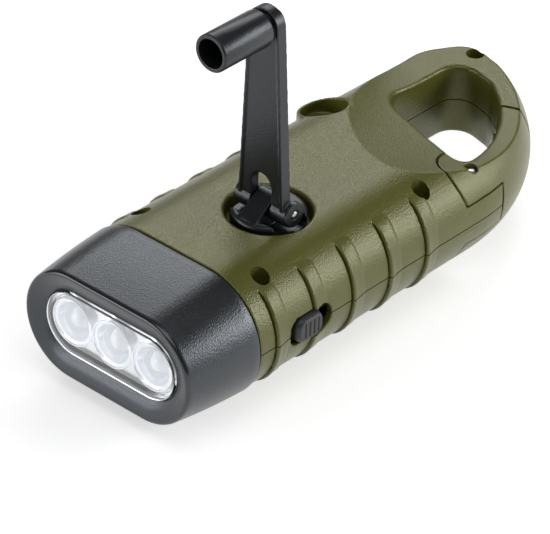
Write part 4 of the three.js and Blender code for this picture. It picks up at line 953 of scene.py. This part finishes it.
def makeArm():
    x, y = crank["spot"]
    z, eye, inner, outer = crank["hinge"], crank["eyeRadius"], crank["eyeInner"], crank["eyeOuter"]
    front = x - arm["offset"]
    back = front + arm["thick"]
    plate = slab("crankArm", "x", armOutline(0, z), front, back)
    panel = armOutline(arm["panelInset"], z - arm["panelLow"])
    combine(plate, [slab("panel", "x", panel, front - 2, front + arm["panelDepth"])])
    live = edit(plate)
    for vert in live.verts:  # the plate leans towards the head, so the knob stands further out
        vert.co.x -= arm["lean"] * (vert.co.z - z) / arm["length"]
    bmesh.update_edit_mesh(plate.data)
    top = front - arm["lean"]
    bossFront, bossBack = top + arm["boss"][0], top + arm["boss"][1]
    knobSpot, foot = (y, knobZ), arm["footReach"]
    combine(plate, [
        rod("foot", "y", (x - arm["foot"], z), arm["footRadius"], y - foot, y + foot, 48),
        rod("eyeRight", "y", (x, z), eye, y - outer, y - inner, 48),
        rod("eyeLeft", "y", (x, z), eye, y + inner, y + outer, 48),
        rod("knobBoss", "x", knobSpot, arm["bossRadius"], bossFront, bossBack, 48),
        rod("spindleSeat", "x", knobSpot, arm["seatRadius"], bossBack, back - arm["seatShort"], 48),
    ], "UNION")
    half, low = crank["knuckle"] + arm["windowGap"], z - arm["windowLow"]
    arch = [(y - half, low), (y + half, low), *arc((y, z + arm["windowTop"] - half), half, 0, math.pi, 20)]
    combine(plate, [slab("window", "x", arch, front - 4, x + 7),
                    rod("pinBore", "y", (x, z), crank["pinBore"], y - 9, y + 9, 24)])
    moulded(plate, arm["voxel"], arm["rounds"], arm["faces"])
    return smooth(plate, 60)


def makeKnob():
    back = crank["spot"][0] - arm["offset"] - arm["lean"] - knob["gap"]
    front, floor = back - knob["length"], back - knob["floor"]
    radius, bore = knob["radius"], knob["radius"] - knob["wall"]
    profile = [(knob["spindle"], back)]
    profile += [(radius - inset, back - depth) for inset, depth in knob["backEdge"]]
    profile += [(radius - inset, front + depth) for inset, depth in knob["frontEdge"]]
    profile += [(bore + grow, front + depth) for grow, depth in knob["mouth"]]
    edge = knob["floorEdge"]
    profile += [(bore, floor - edge), (bore - edge, floor), (knob["spindle"], floor)]
    spot = (crank["spot"][1], knobZ)
    return smooth(turned("crankKnob", "x", spot, profile, 96, closed=True), 35)


def makePin():
    x, y = crank["spot"]
    profile = [(radius, y - reach) for radius, reach in crank["pinEnds"]]
    profile += [(radius, y + reach) for radius, reach in crank["pinEnds"][::-1]]
    return smooth(turned("hingePin", "y", (x, crank["hinge"]), profile, 32), 40)


settle(makeHub(), "gloss", ["crank_hub"], "hub")
settle(makeArm(), "gloss", ["crank_arm"], "arm")
settle(makeKnob(), "gloss", ["crank_knob"], "knob")
settle(makePin(), "steel", ["arm_hinge_pin"], "hub")
print("crank made")


# Solar cell, switch, gate pin and screws

def makeSolarFrame():
    rim = loft("solarFrame", [[(x, y, z) for x, y in solarOutline(grow)] for grow, z in solar["edge"]])

    def opening(grow, radius):
        x0, x1 = solar["window"]
        return roundedBox(x0 - grow, x1 + grow, solar["windowHalf"] + grow, radius, 8)
    rings = [[(x, y, z) for x, y in opening(grow, solar["corner"] + grow)] for grow, z in solar["slope"]]
    combine(rim, [loft("window", rings),
                  slab("sill", "z", opening(solar["sill"], solar["corner"]), solar["sillLevel"], -10)])
    return smooth(rim, 25)


def makeCell():
    outline = roundedBox(*solar["cell"], solar["cellHalf"], solar["corner"], 8)
    cell = slab("solarWindow", "z", outline, *solar["cellLevels"])
    modify(cell, "BEVEL", width=solar["cellEdge"], segments=2, limit_method="ANGLE",
                  angle_limit=math.radians(35))
    return smooth(cell)


def makeThumb():
    face, middle = switch["face"], switch["middle"]
    outline = roundedBox(*switch["thumb"], switch["thumbHalf"], switch["thumbCorner"])
    stations = [(face + depth, share) for depth, share in switch["edge"]] + [(switch["under"], 1.0)]
    thumb = loft("switchThumb", [[(middle + (x - middle) * share, y, z * share) for x, z in outline]
                                 for y, share in stations])
    half, reach, floor = switch["grooveHalf"], switch["grooveReach"], face + switch["grooveDepth"]
    for i in range(switch["grooves"]):
        x = switch["thumb"][0] + switch["grooveFrom"] + switch["groovePitch"] * i
        combine(thumb, [brick("groove", x - half, x + half, face - 2, floor, -reach, reach)])
    moulded(thumb, switch["voxel"], switch["rounds"], switch["faces"])
    return smooth(combine(thumb, [brick("thumbFlange", *switch["flange"])], "UNION"), 50)


def makeGatePin():
    return smooth(turned("gatePin", "z", gate["pin"], gate["pinProfile"], 32), 40)


screw = dict(
    profile=((0.3, -8.0), (1.0, -7.2), (1.0, 3.15), (2.0, 3.15), (2.0, 4.2), (1.85, 4.5), (1.5, 4.6)),
    slotReach=1.3, slotHalf=0.22, slotFloor=3.8, slotTop=6,
)


def makeScrew(number, spot):
    piece = turned("caseScrew%d" % number, "z", spot, screw["profile"], 40)
    x, y = spot
    long, half, levels = screw["slotReach"], screw["slotHalf"], (screw["slotFloor"], screw["slotTop"])
    combine(piece, [brick("slotAlong", x - long, x + long, y - half, y + half, *levels),
                    brick("slotAcross", x - half, x + half, y - long, y + long, *levels)])
    return smooth(piece)


settle(makeSolarFrame(), "cap", ["solar_frame"])
settle(makeCell(), "solarWindow", ["solar_cell"])
settle(makeThumb(), "thumb", ["switch_thumb"], "thumb")
settle(makeGatePin(), "steel", ["gate_pin"])
for number, spot in enumerate(holes["screws"], 1):
    settle(makeScrew(number, spot), "steel", ["case_screw_%d" % number])
print("small pieces made")


# What stays inside keeps its own shape and takes the finish of its slot

slotLooks = dict(
    olive_shell="olive", black_cap="cap", black_gloss="gloss", clear_lens="clearLens",
    chrome_reflector="chromePaintedGlow", led_lamp="lamp", circuit_board="board", bright_steel="steel",
    brass_gear="brass", white_nylon="nylon", magnet="ferrite", copper_coil="copper",
    solar_window="solarWindow",
)
for part in frame["record"]["subparts"]:
    obj = frame["nodes"][part["node"]]
    obj.data.materials.clear()
    obj.data.materials.append(mats[slotLooks[part["material_slot"]]])


# Floor, light and camera

studio = dict(
    floor=6.0, floorLevel=-0.0006, floorShade=0.84, floorRough=0.9, floorSpecular=0.1, floorGlow=0.55,
    world=0.12,
)
lights = dict(
    backLight=dict(spot=(0.71, 0.62, 0.75), target=(0, 0, 0.01), size=(0.85, 0.44), power=4.1),
    sideLight=dict(spot=(0.7, -0.745, 0.38), target=(0, 0, 0.01), size=(0.8, 0.42), power=6.9),
    frontLight=dict(spot=(-0.75, 0.48, 0.16), target=(-0.07, 0, 0.01), size=(0.7, 0.3), power=3.0),
    topLight=dict(spot=(-0.26, -0.25, 1.05), target=(0, 0, 0.01), size=(0.8, 0.8), power=3.0),
)
# the photograph's camera, found from the body's outline: place, heading, tilt, roll and lens
view = dict(
    spot=(-0.5954, -0.4912, 0.52744), heading=-49.68, tilt=34.22, roll=0.0462, lens=268.5, sensor=36,
    near=0.05, far=50,
)


# the floor is lit a little from itself where the camera sees it, straight on or in a gloss
def makeFloor():
    clearAll()
    bpy.ops.mesh.primitive_plane_add(size=studio["floor"], location=(0, 0, studio["floorLevel"]))
    floor = bpy.context.object
    floor.name = "floor"
    bpy.ops.object.transform_apply(location=True, rotation=True, scale=True)
    material = bpy.data.materials.new("paleFloor")
    material.use_nodes = True
    tree = material.node_tree
    shader = tree.nodes["Principled BSDF"]
    shader.inputs["Base Color"].default_value = (*(studio["floorShade"],) * 3, 1)
    shader.inputs["Roughness"].default_value = studio["floorRough"]
    shader.inputs["Specular IOR Level"].default_value = studio["floorSpecular"]
    shader.inputs["Emission Color"].default_value = (1, 1, 1, 1)
    path = node(tree, "ShaderNodeLightPath")
    last = path.outputs["Is Camera Ray"]
    for ray in ("Is Glossy Ray", "Is Transmission Ray"):
        both = node(tree, "ShaderNodeMath", operation="MAXIMUM")
        tree.links.new(last, both.inputs[0])
        tree.links.new(path.outputs[ray], both.inputs[1])
        last = both.outputs[0]
    glow = node(tree, "ShaderNodeMath", {1: studio["floorGlow"]}, operation="MULTIPLY")
    tree.links.new(last, glow.inputs[0])
    tree.links.new(glow.outputs[0], shader.inputs["Emission Strength"])
    floor.data.materials.append(material)


def makeWorld():
    world = bpy.data.worlds.new("studio")
    bpy.context.scene.world = world
    world.use_nodes = True
    back = world.node_tree.nodes["Background"]
    back.inputs["Color"].default_value = (1, 1, 1, 1)
    back.inputs["Strength"].default_value = studio["world"]


def addToScene(name, data):
    obj = bpy.data.objects.new(name, data)
    bpy.context.scene.collection.objects.link(obj)
    return obj


def makeLight(name, spot, target, size, power):
    data = bpy.data.lights.new(name, "AREA")
    data.shape = "RECTANGLE"
    data.size, data.size_y = size
    data.energy = power
    light = addToScene(name, data)
    light.location = spot
    light.rotation_euler = (Vector(target) - Vector(spot)).to_track_quat("-Z", "Y").to_euler()


def makeCamera():
    heading, tilt, roll = math.radians(view["heading"]), math.radians(view["tilt"]), view["roll"]
    right = Vector((math.cos(heading), math.sin(heading), 0))
    level = math.cos(tilt)
    ahead = Vector((-math.sin(heading) * level, math.cos(heading) * level, -math.sin(tilt)))
    up = right.cross(ahead)
    side = right * math.cos(roll) + up * math.sin(roll)
    over = up * math.cos(roll) - right * math.sin(roll)
    data = bpy.data.cameras.new("camera")
    data.sensor_fit = "HORIZONTAL"
    data.sensor_width = view["sensor"]
    data.lens = view["lens"]
    data.clip_start = view["near"]
    data.clip_end = view["far"]
    camera = addToScene("camera", data)
    rows = [(side[i], over[i], -ahead[i], view["spot"][i]) for i in range(3)]
    camera.matrix_world = Matrix((*rows, (0, 0, 0, 1)))
    bpy.context.scene.camera = camera


makeFloor()
makeWorld()
for name, values in lights.items():
    makeLight(name, **values)
makeCamera()
bpy.context.scene.view_settings.view_transform = "Standard"
print("studio made")
